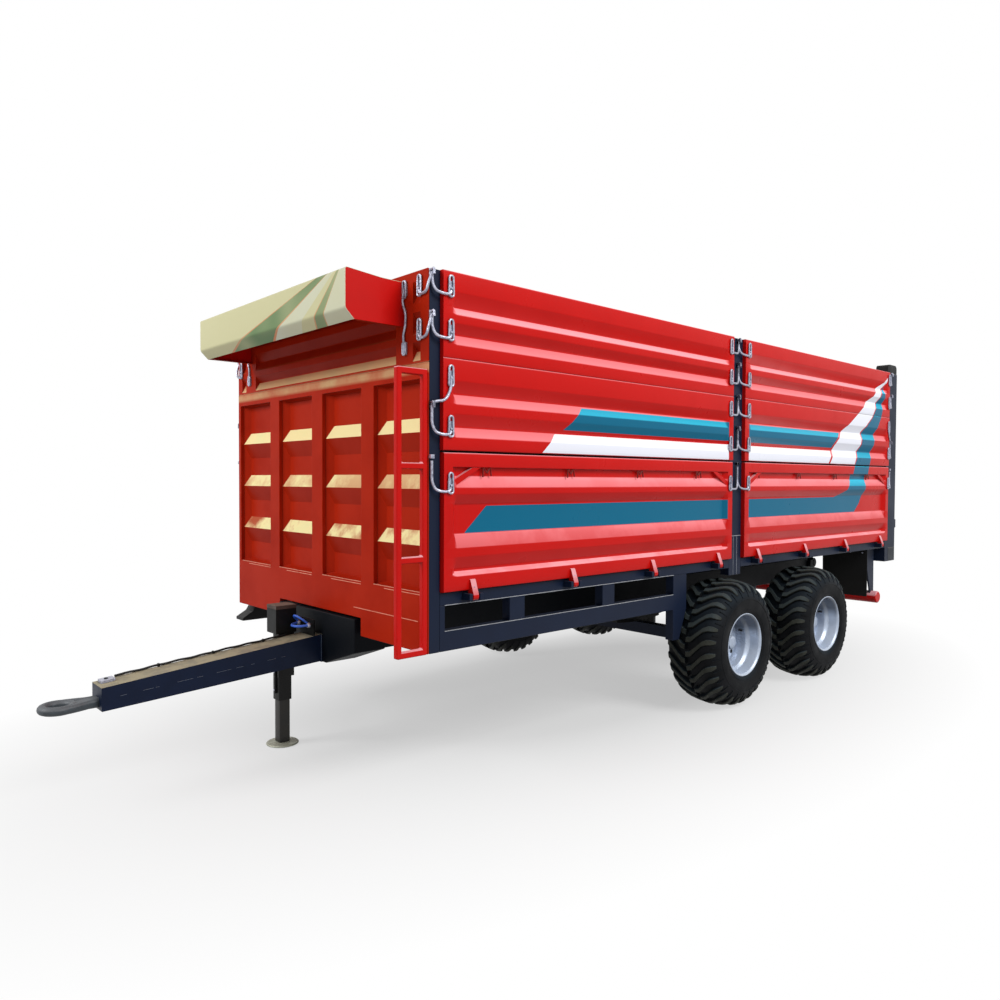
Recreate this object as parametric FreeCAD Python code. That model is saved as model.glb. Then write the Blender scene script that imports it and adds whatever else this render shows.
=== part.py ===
"""Tandem-axle tipping trailer for farm work, built up from separate pieces.

Millimetres.  +Z is up, the drawbar points towards -Y and +X is the left side.
Every piece is drawn with y = 0 on the front face of the body and z = 0 on the
ground; place() then moves it so that the origin lies under the middle of the
whole trailer.
"""
import FreeCAD
import Part
import math
import os

V = FreeCAD.Vector

# --- Wheels and axles --------------------------------------------------------
TYRE_R = 437.0              # over the lugs
TYRE_HALF = 202.0           # half of the section's width
TREAD_HALF = 146.0          # half of the width over the lugs
SIDE_R = 287.0              # where the sidewall is widest
SHOULDER_HALF = 180.0
SHOULDER_R = 350.0
CROWN_HALF = 45.0
CROWN_FALL = 11.0           # of the tread's surface towards its edges
LUG_DEPTH = 24.0
LUG_WIDTH = 34.0
LUG_COUNT = 26              # on each half of the tread
LUG_INNER = 12.0            # from the middle of the tread to the lug's inner end
LUG_SLANT = 62.0            # the outer end trails the inner one by this
WHEEL_CENTRE_X = 1105.0
AXLE_FRONT_Y = 2526.0
AXLE_SPACING = 1199.0
RIM_FLANGE_R = 215.0
RIM_HALF = 187.0
RIM_SEAT_R = 200.0
RIM_WELL = 28.0             # depth of the drop well
RIM_SHEET = 6.0
RIM_BEAD = 170.0            # inner side of the bead, off the middle
RIM_DISC = 14.0
RIM_SET = 20.0              # outer face of the disc outside the middle
SEAT_GAP = 0.3              # round faces that seat on each other
AXLE_BEAM = 80.0
SPINDLE_R = 35.0
SPINDLE_END = 75.0
HUB_R = 58.0
HUB_IN = 45.0
HUB_OUT = 95.0
HUB_SIDE_GAP = 20.0
RUN_FIT = 0.05              # radial clearance of a pin in its hole
SPRING_WIDTH = 50.0
SPRING_LEAF = 14.0
SPRING_LEAVES = 3
SPRING_STEP = 0.22          # each leaf is shorter by this share
SPRING_HALF = 460.0
SPRING_RISE = 50.0
SPRING_EYE_R = 20.0
SPRING_PIN_R = 12.0
HANGER_CHEEK = 10.0
HANGER_GAP = 3.0
HANGER_LENGTH = 90.0
EQUALISER_HALF = 30.0

# --- Heights of the body, stacked up from the wheels --------------------------
WHEEL_HEADROOM = 56.0       # over the tyres
CROSS_DEPTH = 55.0          # height of the floor's cross-members
FLOOR_SHEET = 8.0
DROP_SIDE_HEIGHT = 701.0
MIDDLE_BOARD_HEIGHT = 450.0
TOP_BOARD_HEIGHT = 422.0
BED_RAIL_DEPTH = 130.0      # long rails under the cross-members
BED_GAP = 10.0              # bed over chassis
CHASSIS_DEPTH = 190.0

# --- Body: the tipping box ---------------------------------------------------
BODY_LENGTH = 5571.0        # front face of the corner pillars to rear face of the rear posts
BODY_WIDTH = 2144.0         # over the pillars
RAIL_WIDTH = 80.0           # long rails of the bed and of the chassis
RAIL_CENTRE = 360.0         # long rails, off the centre plane
CROSS_WIDTH = 60.0
CROSS_COUNT = 9
CROSS_END = 40.0            # between a cross-member and the pillars at the ends
SIDE_RAIL_WIDTH = 90.0      # edge channels of the floor
BOARD_THICK = 55.0          # crest to inner skin
BOARD_PROUD = 25.0          # crest outside the pillars
RIB_DEPTH = 27.0
BOARD_FRAME = 55.0          # flat end frame of a board
GUSSET_RUN = 130.0          # corner braces of the drop sides
GUSSET_WIDTH = 55.0
GUSSET_DROP = 36.0
PILLAR_DEPTH = 70.0         # across the trailer
FRONT_PILLAR = 74.0         # along the trailer
FRONT_PILLAR_DEPTH = 30.0
FRONT_FLANGE = 8.0          # front plate that laps the corner pillars
CENTRE_PILLAR = 155.0
CENTRE_PILLAR_START = 2665.0
CENTRE_PILLAR_DROP = 53.0   # foot below the cross-members
REAR_POST = 223.0
REAR_POST_DEPTH = 110.0
REAR_POST_DROP = 132.0
MOVING_GAP = 5.0            # round what moves
SILL_DEPTH = 55.0           # along the trailer
SKIRT_HEIGHT = 227.0
SKIRT_RAIL = 100.0          # bottom rail of the skirt
SKIRT_THICK = 60.0
SKIRT_POST = 110.0
SKIRT_FIRST_POST = 32.0
SKIRT_TO_AXLE = 376.0       # rear edge of the skirt to the front axle
SKIRT_TAIL = 147.0
SKIRT_TAIL_DROP = 203.0     # below the skirt's bottom rail
SKIRT_TAIL_SLANT = 80.0
SKIRT_SHARES = (0.26, 0.383, 0.357)     # windows, in shares of the open length

# --- Drop-side hinges and toggles --------------------------------------------
HINGES = 4
HINGE_PROUD = 43.0          # pin outside the pillars
HINGE_DROP = 28.0           # pin below the floor
HINGE_PIN_R = 9.0
HINGE_EYE = 18.0            # pin to the outside of eye or lug
HINGE_LUG = 20.0
HINGE_KNUCKLE = 46.0
HINGE_END = 180.0           # first hinge from the end of its drop side
HINGE_FOOT = 90.0           # height of the strap on the board
HINGE_SEAT = 15.0           # the strap laps the board's crest by this
HINGE_PLATE = 12.0
PIN_SIDE_GAP = 3.0
TOGGLE_BAR = 16.0
TOGGLE_HALF = 55.0          # lever above its middle
TOGGLE_INSET = 42.0         # from the board's end to the lever
TOGGLE_BEND = 42.0          # lever below its middle, to the bend
CATCH_LIFT = 20.0
PLATE_HALF = 16.0

# --- Front wall --------------------------------------------------------------
FRONT_SEAM_DROP = 27.0      # below the seam of the side boards
FRONT_WALL_THICK = 60.0
FRONT_SHEET = 6.0
FRONT_BAYS = 4
FRONT_POST = 124.0
FRONT_EDGE = 36.0
FRONT_HEADER = 77.0
APRON_RISE = 7.0            # top of the apron over the floor
PANEL_SET = 20.0            # lip of a pressed panel behind the posts' face
PANEL_FLANK = 45.0          # width of the panel's slanting sides
PANEL_END = 12.0            # and of its slanting top and foot
PRESS_FIRST = 224.0         # ridge of the lowest pressed rib over the apron
PRESS_PITCH = 280.0
PRESS_COUNT = 3
PRESS_RISE = 72.0           # rib above its ridge
PRESS_FALL = 94.0           # and below it
PRESS_SET = 2.0             # ridge behind the panel's lip
NOTCH_GAP = 30.0            # notch round the chassis's front box
UPPER_POST = 145.0
UPPER_POST_INSET = 124.0
UPPER_EDGE = 62.0           # frame at the upper board's end
HOOD_INSET = 199.0          # side of the hood inside the pillars' outer face
HOOD_REACH = 336.0
HOOD_DROP = 16.0            # under the top of the boards
HOOD_FACE = 192.0
HOOD_LIP = 48.0
HOOD_SHEET = 6.0
LADDER_TUBE = 30.0
LADDER_REACH = 180.0        # ahead of the front wall
LADDER_PITCH = 449.0
LADDER_RUNG_COUNT = 4

# --- Tailgate ----------------------------------------------------------------
GATE_THICK = 50.0
GATE_INSET = 16.0           # rear face inside the rear posts' rear face
GATE_LAP = 50.0             # over the sill
GATE_TOP_DROP = 66.0
GATE_SIDE_GAP = 12.0
GATE_FRAME = 60.0
GATE_RECESS = 20.0
GATE_BAYS = 3
GATE_PIN_R = 15.0
GATE_PIN_IN = 85.0          # length of the pin in its block
GATE_ARM = 20.0
GATE_EYE = 35.0
PIVOT_BACK = 111.0          # pin to the rear face of the posts
PIVOT_RISE = 40.0
BLOCK_HALF = 98.0
BLOCK_HEIGHT = 82.0
BLOCK_CORNER = 35.0
CATCH_HEIGHT = 157.0        # gate catches over the floor
CATCH_HALF = 40.0
CATCH_PROUD = 20.0

# --- Chassis -----------------------------------------------------------------
CHASSIS_START = 180.0
TAIL_RISE = 80.0            # the rails are shallower over the underrun bar
TAIL_LENGTH = 240.0
TAIL_TAPER = 300.0
FRONT_BOX_HALF = 440.0
FRONT_BOX_START = -20.0
FRONT_BOX_DEPTH = 290.0
BOX_STEP_DEPTH = 130.0      # height of the upper tier
BOX_STEP = 15.0
CHASSIS_CROSS = 60.0
CHASSIS_CROSS_DEPTH = 120.0
CHASSIS_CROSS_DROP = 30.0
FRONT_CROSS_Y = 1100.0
REAR_CROSS_BACK = 850.0     # last cross-member ahead of the tipping pins
TIP_BACK = 271.0            # tipping pins to the rear face of the posts
TIP_DROP = 50.0             # pins below the top of the chassis
TIP_TO_BEAM = 60.0
TIP_BEAM = 50.0
TIP_BEAM_DROP = 20.0
TIP_PIN_R = 25.0
TIP_LUG_R = 45.0
TIP_LUG = 30.0
TIP_PIN_END = 5.0
EAR_WIDTH = 40.0

# --- Drawbar, eye and jack ---------------------------------------------------
DRAWBAR_HALF = 80.0
DRAWBAR_FRONT = -1190.0
DRAWBAR_ROOT_RISE = 3.0     # over the bottom of the front box
DRAWBAR_ROOT_HEIGHT = 155.0
DRAWBAR_TIP_LOW = 35.0      # below the eye's middle plane
DRAWBAR_TIP_HIGH = 79.0
ROOT_PLATE = 20.0
ROOT_PLATE_RIM = 14.0
EYE_HOLE_R = 45.0
EYE_BAR = 42.0
EYE_BEVEL = 12.0
EYE_Z = 470.0
EYE_REACH = 257.0           # front face of the drawbar to the ring's tip
EYE_SHANK = 84.0            # width where it enters the drawbar
SERVICE_RISE = 57.0         # couplings over the drawbar's root
SERVICE_LOOP = 60.0
SERVICE_HOSE_R = 7.0
SERVICE_COUPLING = 34.0
SERVICE_COUPLING_R = 11.0
SERVICE_PLATE = 8.0
SERVICE_PLATE_HALF = 80.0
SERVICE_PLATE_RIM = 30.0
SERVICE_FRONT = -68.0
JACK_Y = -155.0
JACK_TUBE_R = 46.0
JACK_LEG_R = 38.0
JACK_SIDE_PLATE = 6.0
JACK_TUBE_BOTTOM = 265.0
JACK_HEAD_HEIGHT = 162.0
JACK_HEAD = 130.0
JACK_STRAP_HALF = 50.0
JACK_BORE_END = 28.0        # solid tube left over the bore
JACK_LEG_TOP = 390.0
JACK_FOOT_R = 93.0
JACK_FOOT = 15.0

# --- Tipping ram -------------------------------------------------------------
RAM_PIVOT_DROP = 100.0      # trunnions below the top of the chassis
RAM_EYE_DROP = 65.0         # eye below the cross-members
RAM_BELOW_PIVOT = 390.0
RAM_TOP_DROP = 10.0
RAM_BARREL_R = 80.0
RAM_WALL = 10.0
RAM_STAGES = 4
RAM_STEP = 12.0             # each stage stands this far above the one outside it
RAM_TRUNNION_R = 20.0
RAM_CRADLE_GAP = 15.0
RAM_CRADLE_PLATE = 15.0
RAM_CRADLE_HALF = 50.0
RAM_SWING_GAP = 60.0        # ahead of and behind the barrel
RAM_EYE_R = 38.0
RAM_EYE_HALF = 42.0
RAM_CHEEK = 15.0
RAM_CHEEK_GAP = 8.0
RAM_CHEEK_HALF = 60.0
RAM_CHEEK_DROP = 40.0       # below the eye's middle

# --- Rear --------------------------------------------------------------------
UNDERRUN_R = 54.5
UNDERRUN_BACK = 326.0       # bar to the rear face of the posts
UNDERRUN_Z = 472.0
UNDERRUN_INSET = 12.0
BRACKET_PLATE = 15.0
BRACKET_INSET = 67.0        # outer face inside the pillars' outer face
BRACKET_FRONT = 135.0       # ahead of the bar at the top
BRACKET_REAR = 25.0
BRACKET_STRAIGHT = 130.0    # height of the upper, untapered part
BRACKET_TOE = 30.0
BRACKET_FLANGE = 8.0
BRACKET_FLANGE_WIDTH = 50.0
FLAP_BACK = 581.0
FLAP_BOTTOM = 500.0
FLAP_WIDTH = 415.0
FLAP_INSET = 11.0
FLAP_SHEET = 10.0
FLAP_HANGER = 60.0
FLAP_HANGER_FOOT = 46.0
FLAP_HANGER_SHEET = 6.0
LAMP_INSET = 142.0
LAMP_WIDTH = 230.0
LAMP_RISE = 15.0
LAMP_HEIGHT = 100.0
LAMP_DEPTH = 35.0
CHOCK_LENGTH = 205.0
CHOCK_HEIGHT = 113.0
CHOCK_WIDTH = 110.0
CHOCK_PROUD = 18.0
CHOCK_PLATE = 18.0
CHOCK_START = -15.0

# --- Worked out --------------------------------------------------------------
CROSS_BOTTOM = 2 * TYRE_R + WHEEL_HEADROOM
FLOOR_BOTTOM = CROSS_BOTTOM + CROSS_DEPTH
FLOOR_TOP = FLOOR_BOTTOM + FLOOR_SHEET
SEAM_MID = FLOOR_TOP + DROP_SIDE_HEIGHT
SEAM_TOP = SEAM_MID + MIDDLE_BOARD_HEIGHT
BODY_TOP = SEAM_TOP + TOP_BOARD_HEIGHT
FRONT_SEAM = SEAM_TOP - FRONT_SEAM_DROP
BED_RAIL_BOTTOM = CROSS_BOTTOM - BED_RAIL_DEPTH
SKIRT_BOTTOM = CROSS_BOTTOM - SKIRT_HEIGHT
CHASSIS_TOP = BED_RAIL_BOTTOM - BED_GAP
CHASSIS_BOTTOM = CHASSIS_TOP - CHASSIS_DEPTH
FRONT_BOX_BOTTOM = CHASSIS_TOP - FRONT_BOX_DEPTH
HALF_WIDTH = BODY_WIDTH / 2
WALL_OUT = HALF_WIDTH + BOARD_PROUD
WALL_IN = WALL_OUT - BOARD_THICK
RAIL_INNER = RAIL_CENTRE - RAIL_WIDTH / 2
RAIL_OUTER = RAIL_CENTRE + RAIL_WIDTH / 2
REAR_POST_START = BODY_LENGTH - REAR_POST
REAR_POST_INNER = HALF_WIDTH - REAR_POST_DEPTH
GATE_BACK = BODY_LENGTH - GATE_INSET
GATE_FRONT = GATE_BACK - GATE_THICK
SILL_END = GATE_FRONT - 2 * MOVING_GAP
SILL_START = SILL_END - SILL_DEPTH
PIVOT_Y = BODY_LENGTH - PIVOT_BACK
PIVOT_Z = BODY_TOP + PIVOT_RISE
TIP_Y = BODY_LENGTH - TIP_BACK
TIP_Z = CHASSIS_TOP - TIP_DROP
CHASSIS_END = TIP_Y - TIP_TO_BEAM - TIP_BEAM
UNDERRUN_Y = BODY_LENGTH - UNDERRUN_BACK
FLAP_Y = BODY_LENGTH - FLAP_BACK
HINGE_X = HALF_WIDTH + HINGE_PROUD
HINGE_Z = FLOOR_TOP - HINGE_DROP
EYE_TIP = DRAWBAR_FRONT - EYE_REACH
ORIGIN_Y = (EYE_TIP + BODY_LENGTH + CATCH_PROUD) / 2
AXLES = (AXLE_FRONT_Y, AXLE_FRONT_Y + AXLE_SPACING)
AXLE_MIDDLE = sum(AXLES) / 2
BAYS = ((FRONT_PILLAR, CENTRE_PILLAR_START),
        (CENTRE_PILLAR_START + CENTRE_PILLAR, REAR_POST_START))
LUG_PITCH = math.tau / LUG_COUNT
LUG_TRAIL = LUG_SLANT / TYRE_R
FIRST_LUG = math.pi + LUG_WIDTH / 2 / TYRE_R
DRAWBAR_LOW = FRONT_BOX_BOTTOM + DRAWBAR_ROOT_RISE
DRAWBAR_HIGH = DRAWBAR_LOW + DRAWBAR_ROOT_HEIGHT
SERVICE_Z = DRAWBAR_HIGH + SERVICE_RISE
JACK_X = -(DRAWBAR_HALF + JACK_SIDE_PLATE + JACK_TUBE_R)
RAM_Y = AXLE_MIDDLE
RAM_PIVOT_Z = CHASSIS_TOP - RAM_PIVOT_DROP
RAM_EYE_Z = CROSS_BOTTOM - RAM_EYE_DROP
RAM_BOTTOM = RAM_PIVOT_Z - RAM_BELOW_PIVOT
LADDER_INNER = HALF_WIDTH - LADDER_TUBE
LADDER_RUNGS = tuple(SKIRT_BOTTOM + number * LADDER_PITCH for number in range(LADDER_RUNG_COUNT))

# Toggle levers, and their catches on the pillars, as heights.
TOGGLES = ((BODY_TOP - 76.0, BODY_TOP - 22.0), (BODY_TOP - 291.0, BODY_TOP - 221.0),
           (SEAM_TOP - 79.0, SEAM_TOP - 190.0), (SEAM_TOP - 329.0, SEAM_TOP - 234.0))
SIDE_TOGGLE = (SEAM_MID - 160.0, SEAM_MID - 64.0)

# Valleys of the boards as heights over the bottom edge, in shares of the height:
# upper edge, upper bottom, lower bottom, lower edge.
FRONT_VALLEYS = ((0.890, 0.770, 0.770, 0.646), (0.557, 0.437, 0.437, 0.312),
                 (0.234, 0.143, 0.143, 0.029))
TOP_VALLEYS = ((0.775, 0.600, 0.600, 0.507), (0.412, 0.284, 0.284, 0.156))
MID_VALLEYS = ((0.762, 0.620, 0.620, 0.500), (0.402, 0.260, 0.260, 0.138))
SIDE_VALLEYS = ((0.884, 0.884, 0.822, 0.736), (0.695, 0.618, 0.414, 0.308),
                (0.251, 0.160, 0.160, 0.117))


def box(x0, x1, y0, y1, z0, z1):
    """A block between two corners."""
    return Part.makeBox(x1 - x0, y1 - y0, z1 - z0, V(x0, y0, z0))


def rod(radius, start, end):
    """A round bar from one point to another."""
    run = end - start
    return Part.makeCylinder(radius, run.Length, start, run)


def rod_x(radius, x0, x1, y, z):
    """A round bar along X."""
    return rod(radius, V(x0, y, z), V(x1, y, z))


def prism_x(points, x0, x1):
    """An outline of (y, z) points carried along X."""
    wire = Part.makePolygon([V(x0, y, z) for y, z in points + points[:1]])
    return Part.Face(wire).extrude(V(x1 - x0, 0, 0))


def prism_y(points, y0, y1):
    """An outline of (x, z) points carried along Y."""
    wire = Part.makePolygon([V(x, y0, z) for x, z in points + points[:1]])
    return Part.Face(wire).extrude(V(0, y1 - y0, 0))


def join(first, *others):
    """One solid of several that touch."""
    return first.fuse(list(others)).removeSplitter()


def mirrored(shape):
    """The same piece on the right side."""
    return shape.mirror(V(0, 0, 0), V(1, 0, 0))


def both(*shapes):
    """Left pieces and their mirror images, as separate solids of one node."""
    return Part.Compound(list(shapes) + [mirrored(shape) for shape in shapes])


def turned_x(points, centre_x, y, z):
    """A closed outline of (x, r) points turned about an axis along X."""
    wire = Part.makePolygon([V(centre_x + x, y, z + r) for x, r in points + points[:1]])
    return Part.Face(wire).revolve(V(centre_x, y, z), V(1, 0, 0), 360)


def turned_z(points, y, z, angle=360):
    """A closed outline of (r, z) points turned about a vertical axis on the centre plane."""
    wire = Part.makePolygon([V(r, y, z + h) for r, h in points + points[:1]])
    return Part.Face(wire).revolve(V(0, y, z), V(0, 0, -1), angle)


def strip_outline(points, width):
    """Outline of a flat strip of even width along a few points, mitred at its bends."""
    left, right = [], []
    for number, point in enumerate(points):
        before = points[max(number - 1, 0)]
        after = points[min(number + 1, len(points) - 1)]
        angles = [math.atan2(end[1] - start[1], end[0] - start[0])
                  for start, end in ((before, point), (point, after)) if start != end]
        middle = math.atan2(sum(map(math.sin, angles)), sum(map(math.cos, angles)))
        reach = width / 2 / math.cos(angles[0] - middle)
        across = (-math.sin(middle) * reach, math.cos(middle) * reach)
        left.append((point[0] + across[0], point[1] + across[1]))
        right.append((point[0] - across[0], point[1] - across[1]))
    return left + right[::-1]


def faceted(rings, twisted=False):
    """Solid of flat faces between rings of as many points, closed by the first and last ring.

    Where the rings are turned against each other the sides are split into triangles.
    """
    faces = [rings[0], rings[-1]]
    for first, second in zip(rings, rings[1:]):
        for number, corner in enumerate(first):
            after = (number + 1) % len(first)
            if twisted:
                faces += [[corner, second[number], second[after]], [corner, second[after], first[after]]]
            else:
                faces.append([corner, second[number], second[after], first[after]])
    shell = Part.makeShell([Part.Face(Part.makePolygon(face + face[:1])) for face in faces])
    return Part.makeSolid(shell)


# --- Side boards -------------------------------------------------------------
def ribbed_outline(valleys, bottom, top):
    """(x, z) outline of a ribbed board: ribs outside, flat skin inside."""
    height = top - bottom
    points = [(WALL_IN, bottom), (WALL_IN, top), (WALL_OUT, top)]
    for upper, high, low, lower in valleys:
        points.append((WALL_OUT, bottom + upper * height))
        points.append((WALL_OUT - RIB_DEPTH, bottom + high * height))
        if low < high:
            points.append((WALL_OUT - RIB_DEPTH, bottom + low * height))
        points.append((WALL_OUT, bottom + lower * height))
    points.append((WALL_OUT, bottom))
    return points


def side_board(valleys, y0, y1, bottom, top):
    """A ribbed board with a flat frame at each end."""
    board = prism_y(ribbed_outline(valleys, bottom, top), y0, y1)
    front = box(WALL_IN, WALL_OUT, y0, y0 + BOARD_FRAME, bottom, top)
    rear = box(WALL_IN, WALL_OUT, y1 - BOARD_FRAME, y1, bottom, top)
    return join(board, front, rear)


def fixed_boards(valleys, bottom, top):
    """The boards of one row, both bays and both sides."""
    return both(*[side_board(valleys, y0, y1, bottom, top) for y0, y1 in BAYS])


# --- Toggles -----------------------------------------------------------------
def toggle_outline(board, pillar, lever_z, catch_z):
    """Flat outline of a toggle: a lever on the board that bends over to the pillar's catch."""
    end = -1 if catch_z > lever_z else 1
    return strip_outline([(board, lever_z - end * TOGGLE_HALF), (board, lever_z + end * TOGGLE_BEND),
                          (pillar, catch_z)], TOGGLE_BAR)


def side_toggle(board, pillar, lever_z, catch_z):
    """Toggle on the boards' outer face, with its end clear of the pillar."""
    return prism_x(toggle_outline(board, pillar, lever_z, catch_z), WALL_OUT, WALL_OUT + TOGGLE_BAR)


def catch(y, z):
    """Block on a pillar that a toggle's bar hooks over."""
    return box(HALF_WIDTH, WALL_OUT + TOGGLE_BAR, y - PLATE_HALF, y + PLATE_HALF,
               z - PLATE_HALF, z + CATCH_LIFT)


def toggle_places():
    """Lever and catch places along the trailer, for each end of each board."""
    front = FRONT_PILLAR / 2
    centre = CENTRE_PILLAR_START + CENTRE_PILLAR / 2
    off = CENTRE_PILLAR / 4
    rear = REAR_POST_START + PLATE_HALF + TOGGLE_INSET / 2
    return ((BAYS[0][0] + TOGGLE_INSET, front), (BAYS[0][1] - TOGGLE_INSET, centre - off),
            (BAYS[1][0] + TOGGLE_INSET, centre + off), (BAYS[1][1] - TOGGLE_INSET, rear))


def front_toggles():
    """Toggles between the upper front board and the corner pillar."""
    pillar = HALF_WIDTH - TOGGLE_BAR - FRONT_FLANGE / 2
    board = HALF_WIDTH - UPPER_EDGE
    return [prism_y(toggle_outline(board, pillar, lever_z, catch_z), -TOGGLE_BAR, 0)
            for lever_z, catch_z in TOGGLES[:2]]


def board_latches():
    """Zinc-plated toggles that hold the fixed boards to the pillars."""
    toggles = front_toggles()
    for lever_z, catch_z in TOGGLES:
        for board, pillar in toggle_places():
            toggle = side_toggle(board, pillar, lever_z, catch_z)
            toggles.append(join(toggle, catch(pillar, catch_z)))
    return both(*toggles)


# --- Drop sides --------------------------------------------------------------
def hinge_places(y0, y1):
    """Where the drop side's hinges stand along its bay."""
    pitch = (y1 - y0 - 2 * HINGE_END) / (HINGES - 1)
    return [y0 + HINGE_END + number * pitch for number in range(HINGES)]


def hinge_strap(y):
    """Bracket from the foot of the drop side out and down to its pin."""
    half = HINGE_KNUCKLE / 2
    low = FLOOR_TOP + MOVING_GAP
    seat = WALL_OUT - HINGE_SEAT
    outline = [(seat, low), (seat, low + HINGE_FOOT), (WALL_OUT + HINGE_PLATE, low + HINGE_FOOT),
               (HINGE_X + HINGE_EYE, HINGE_Z), (HINGE_X, HINGE_Z - HINGE_EYE),
               (HINGE_X - HINGE_EYE, HINGE_Z)]
    strap = prism_y(outline, y - half, y + half)
    return strap.cut(rod(HINGE_PIN_R + RUN_FIT, V(HINGE_X, y - half, HINGE_Z),
                         V(HINGE_X, y + half, HINGE_Z)))


def corner_brace(corner, inward, rail_z, crest_z):
    """Flat brace across an upper corner of a drop side."""
    outline = [(corner, crest_z), (corner, crest_z + GUSSET_DROP),
               (corner + inward * GUSSET_RUN, rail_z),
               (corner + inward * (GUSSET_RUN + GUSSET_WIDTH), rail_z)]
    return prism_x(outline, WALL_OUT - RIB_DEPTH, WALL_OUT - HOOD_SHEET)


def drop_side(bay):
    """A lower board that swings down on the hinges along its foot."""
    y0 = BAYS[bay][0] + MOVING_GAP
    y1 = BAYS[bay][1] - MOVING_GAP
    bottom = FLOOR_TOP + MOVING_GAP
    top = SEAM_MID - 2 * MOVING_GAP
    board = side_board(SIDE_VALLEYS, y0, y1, bottom, top)
    rail_z = bottom + SIDE_VALLEYS[0][0] * (top - bottom)
    crest_z = bottom + SIDE_VALLEYS[0][3] * (top - bottom)
    pieces = [hinge_strap(y) for y in hinge_places(y0, y1)]
    pieces += [corner_brace(y0 + BOARD_FRAME, 1, rail_z, crest_z),
               corner_brace(y1 - BOARD_FRAME, -1, rail_z, crest_z)]
    pieces += [side_toggle(lever, pillar, *SIDE_TOGGLE)
               for lever, pillar in toggle_places()[2 * bay:2 * bay + 2]]
    return join(board, *pieces)


def hinge_lugs():
    """Lugs on the floor's edge with a pin between each pair, for the hinges of the drop sides."""
    sets = []
    near = HINGE_KNUCKLE / 2 + PIN_SIDE_GAP / 2
    far = near + HINGE_LUG
    outline = [(HALF_WIDTH, HINGE_Z - HINGE_EYE), (HALF_WIDTH, HINGE_Z + HINGE_EYE),
               (HINGE_X + HINGE_EYE, HINGE_Z + HINGE_EYE), (HINGE_X + HINGE_EYE, HINGE_Z - HINGE_EYE)]
    for y0, y1 in BAYS:
        for y in hinge_places(y0 + MOVING_GAP, y1 - MOVING_GAP):
            pin = rod(HINGE_PIN_R, V(HINGE_X, y - near, HINGE_Z), V(HINGE_X, y + near, HINGE_Z))
            sets.append(join(prism_y(outline, y - far, y - near), pin,
                             prism_y(outline, y + near, y + far)))
    return both(*sets)


# --- Bed ---------------------------------------------------------------------
def pillar(y0, y1, foot, depth=PILLAR_DEPTH):
    return box(HALF_WIDTH - depth, HALF_WIDTH, y0, y1, foot, BODY_TOP)


def front_pillars():
    return both(pillar(FRONT_FLANGE, FRONT_PILLAR, SKIRT_BOTTOM, FRONT_PILLAR_DEPTH))


def centre_pillars():
    return both(pillar(CENTRE_PILLAR_START, CENTRE_PILLAR_START + CENTRE_PILLAR,
                       CROSS_BOTTOM - CENTRE_PILLAR_DROP))


def rear_posts():
    """Rear posts, each with the catch that holds the tailgate's foot."""
    post = pillar(REAR_POST_START, BODY_LENGTH, CROSS_BOTTOM - REAR_POST_DROP, REAR_POST_DEPTH)
    z = FLOOR_TOP + CATCH_HEIGHT
    tongue = box(REAR_POST_INNER, HALF_WIDTH, BODY_LENGTH, BODY_LENGTH + CATCH_PROUD,
                 z - CATCH_HALF, z + CATCH_HALF)
    return both(join(post, tongue))


def gate_pivot_blocks():
    """Rounded blocks on the rear posts, bored for the tailgate's pins."""
    block = box(REAR_POST_INNER, HALF_WIDTH, PIVOT_Y - BLOCK_HALF, PIVOT_Y + BLOCK_HALF,
                BODY_TOP, BODY_TOP + BLOCK_HEIGHT)
    top = BODY_TOP + BLOCK_HEIGHT
    corners = [edge for edge in block.Edges
               if abs(edge.BoundBox.ZMin - top) < 1 and edge.BoundBox.XLength > 1]
    block = block.makeFillet(BLOCK_CORNER, corners)
    bore = rod_x(GATE_PIN_R + RUN_FIT, REAR_POST_INNER - 1,
                 REAR_POST_INNER + GATE_PIN_IN + PIN_SIDE_GAP, PIVOT_Y, PIVOT_Z)
    return both(block.cut(bore))


def bed_floor():
    """Floor sheet, cut round the pillars and posts."""
    sheet = box(-WALL_IN, WALL_IN, FRONT_WALL_THICK, SILL_END, FLOOR_BOTTOM, FLOOR_TOP)
    return sheet.cut([front_pillars(), centre_pillars(), rear_posts()])


def cross_places():
    """Centres of the cross-members under the floor."""
    first = FRONT_PILLAR + CROSS_END + CROSS_WIDTH / 2
    last = REAR_POST_START - CROSS_END - CROSS_WIDTH / 2
    pitch = (last - first) / (CROSS_COUNT - 1)
    return [first + number * pitch for number in range(CROSS_COUNT)]


def ram_clevis():
    """Plate and open cheeks under the floor that the ram's eye stands in."""
    inner = RAM_EYE_HALF + RAM_CHEEK_GAP
    outer = inner + RAM_CHEEK
    y0, y1 = RAM_Y - RAM_CHEEK_HALF, RAM_Y + RAM_CHEEK_HALF
    seat = CROSS_BOTTOM - RAM_CHEEK
    top = box(-RAIL_INNER, RAIL_INNER, y0, y1, seat, CROSS_BOTTOM)
    left = box(inner, outer, y0, y1, RAM_EYE_Z - RAM_CHEEK_DROP, seat)
    return join(top, left, mirrored(left))


def bed_cross_members():
    reach = HALF_WIDTH - SIDE_RAIL_WIDTH
    half = CROSS_WIDTH / 2
    bars = [box(-reach, reach, y - half, y + half, CROSS_BOTTOM, FLOOR_BOTTOM)
            for y in cross_places()]
    return Part.Compound(bars + [ram_clevis()])


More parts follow.
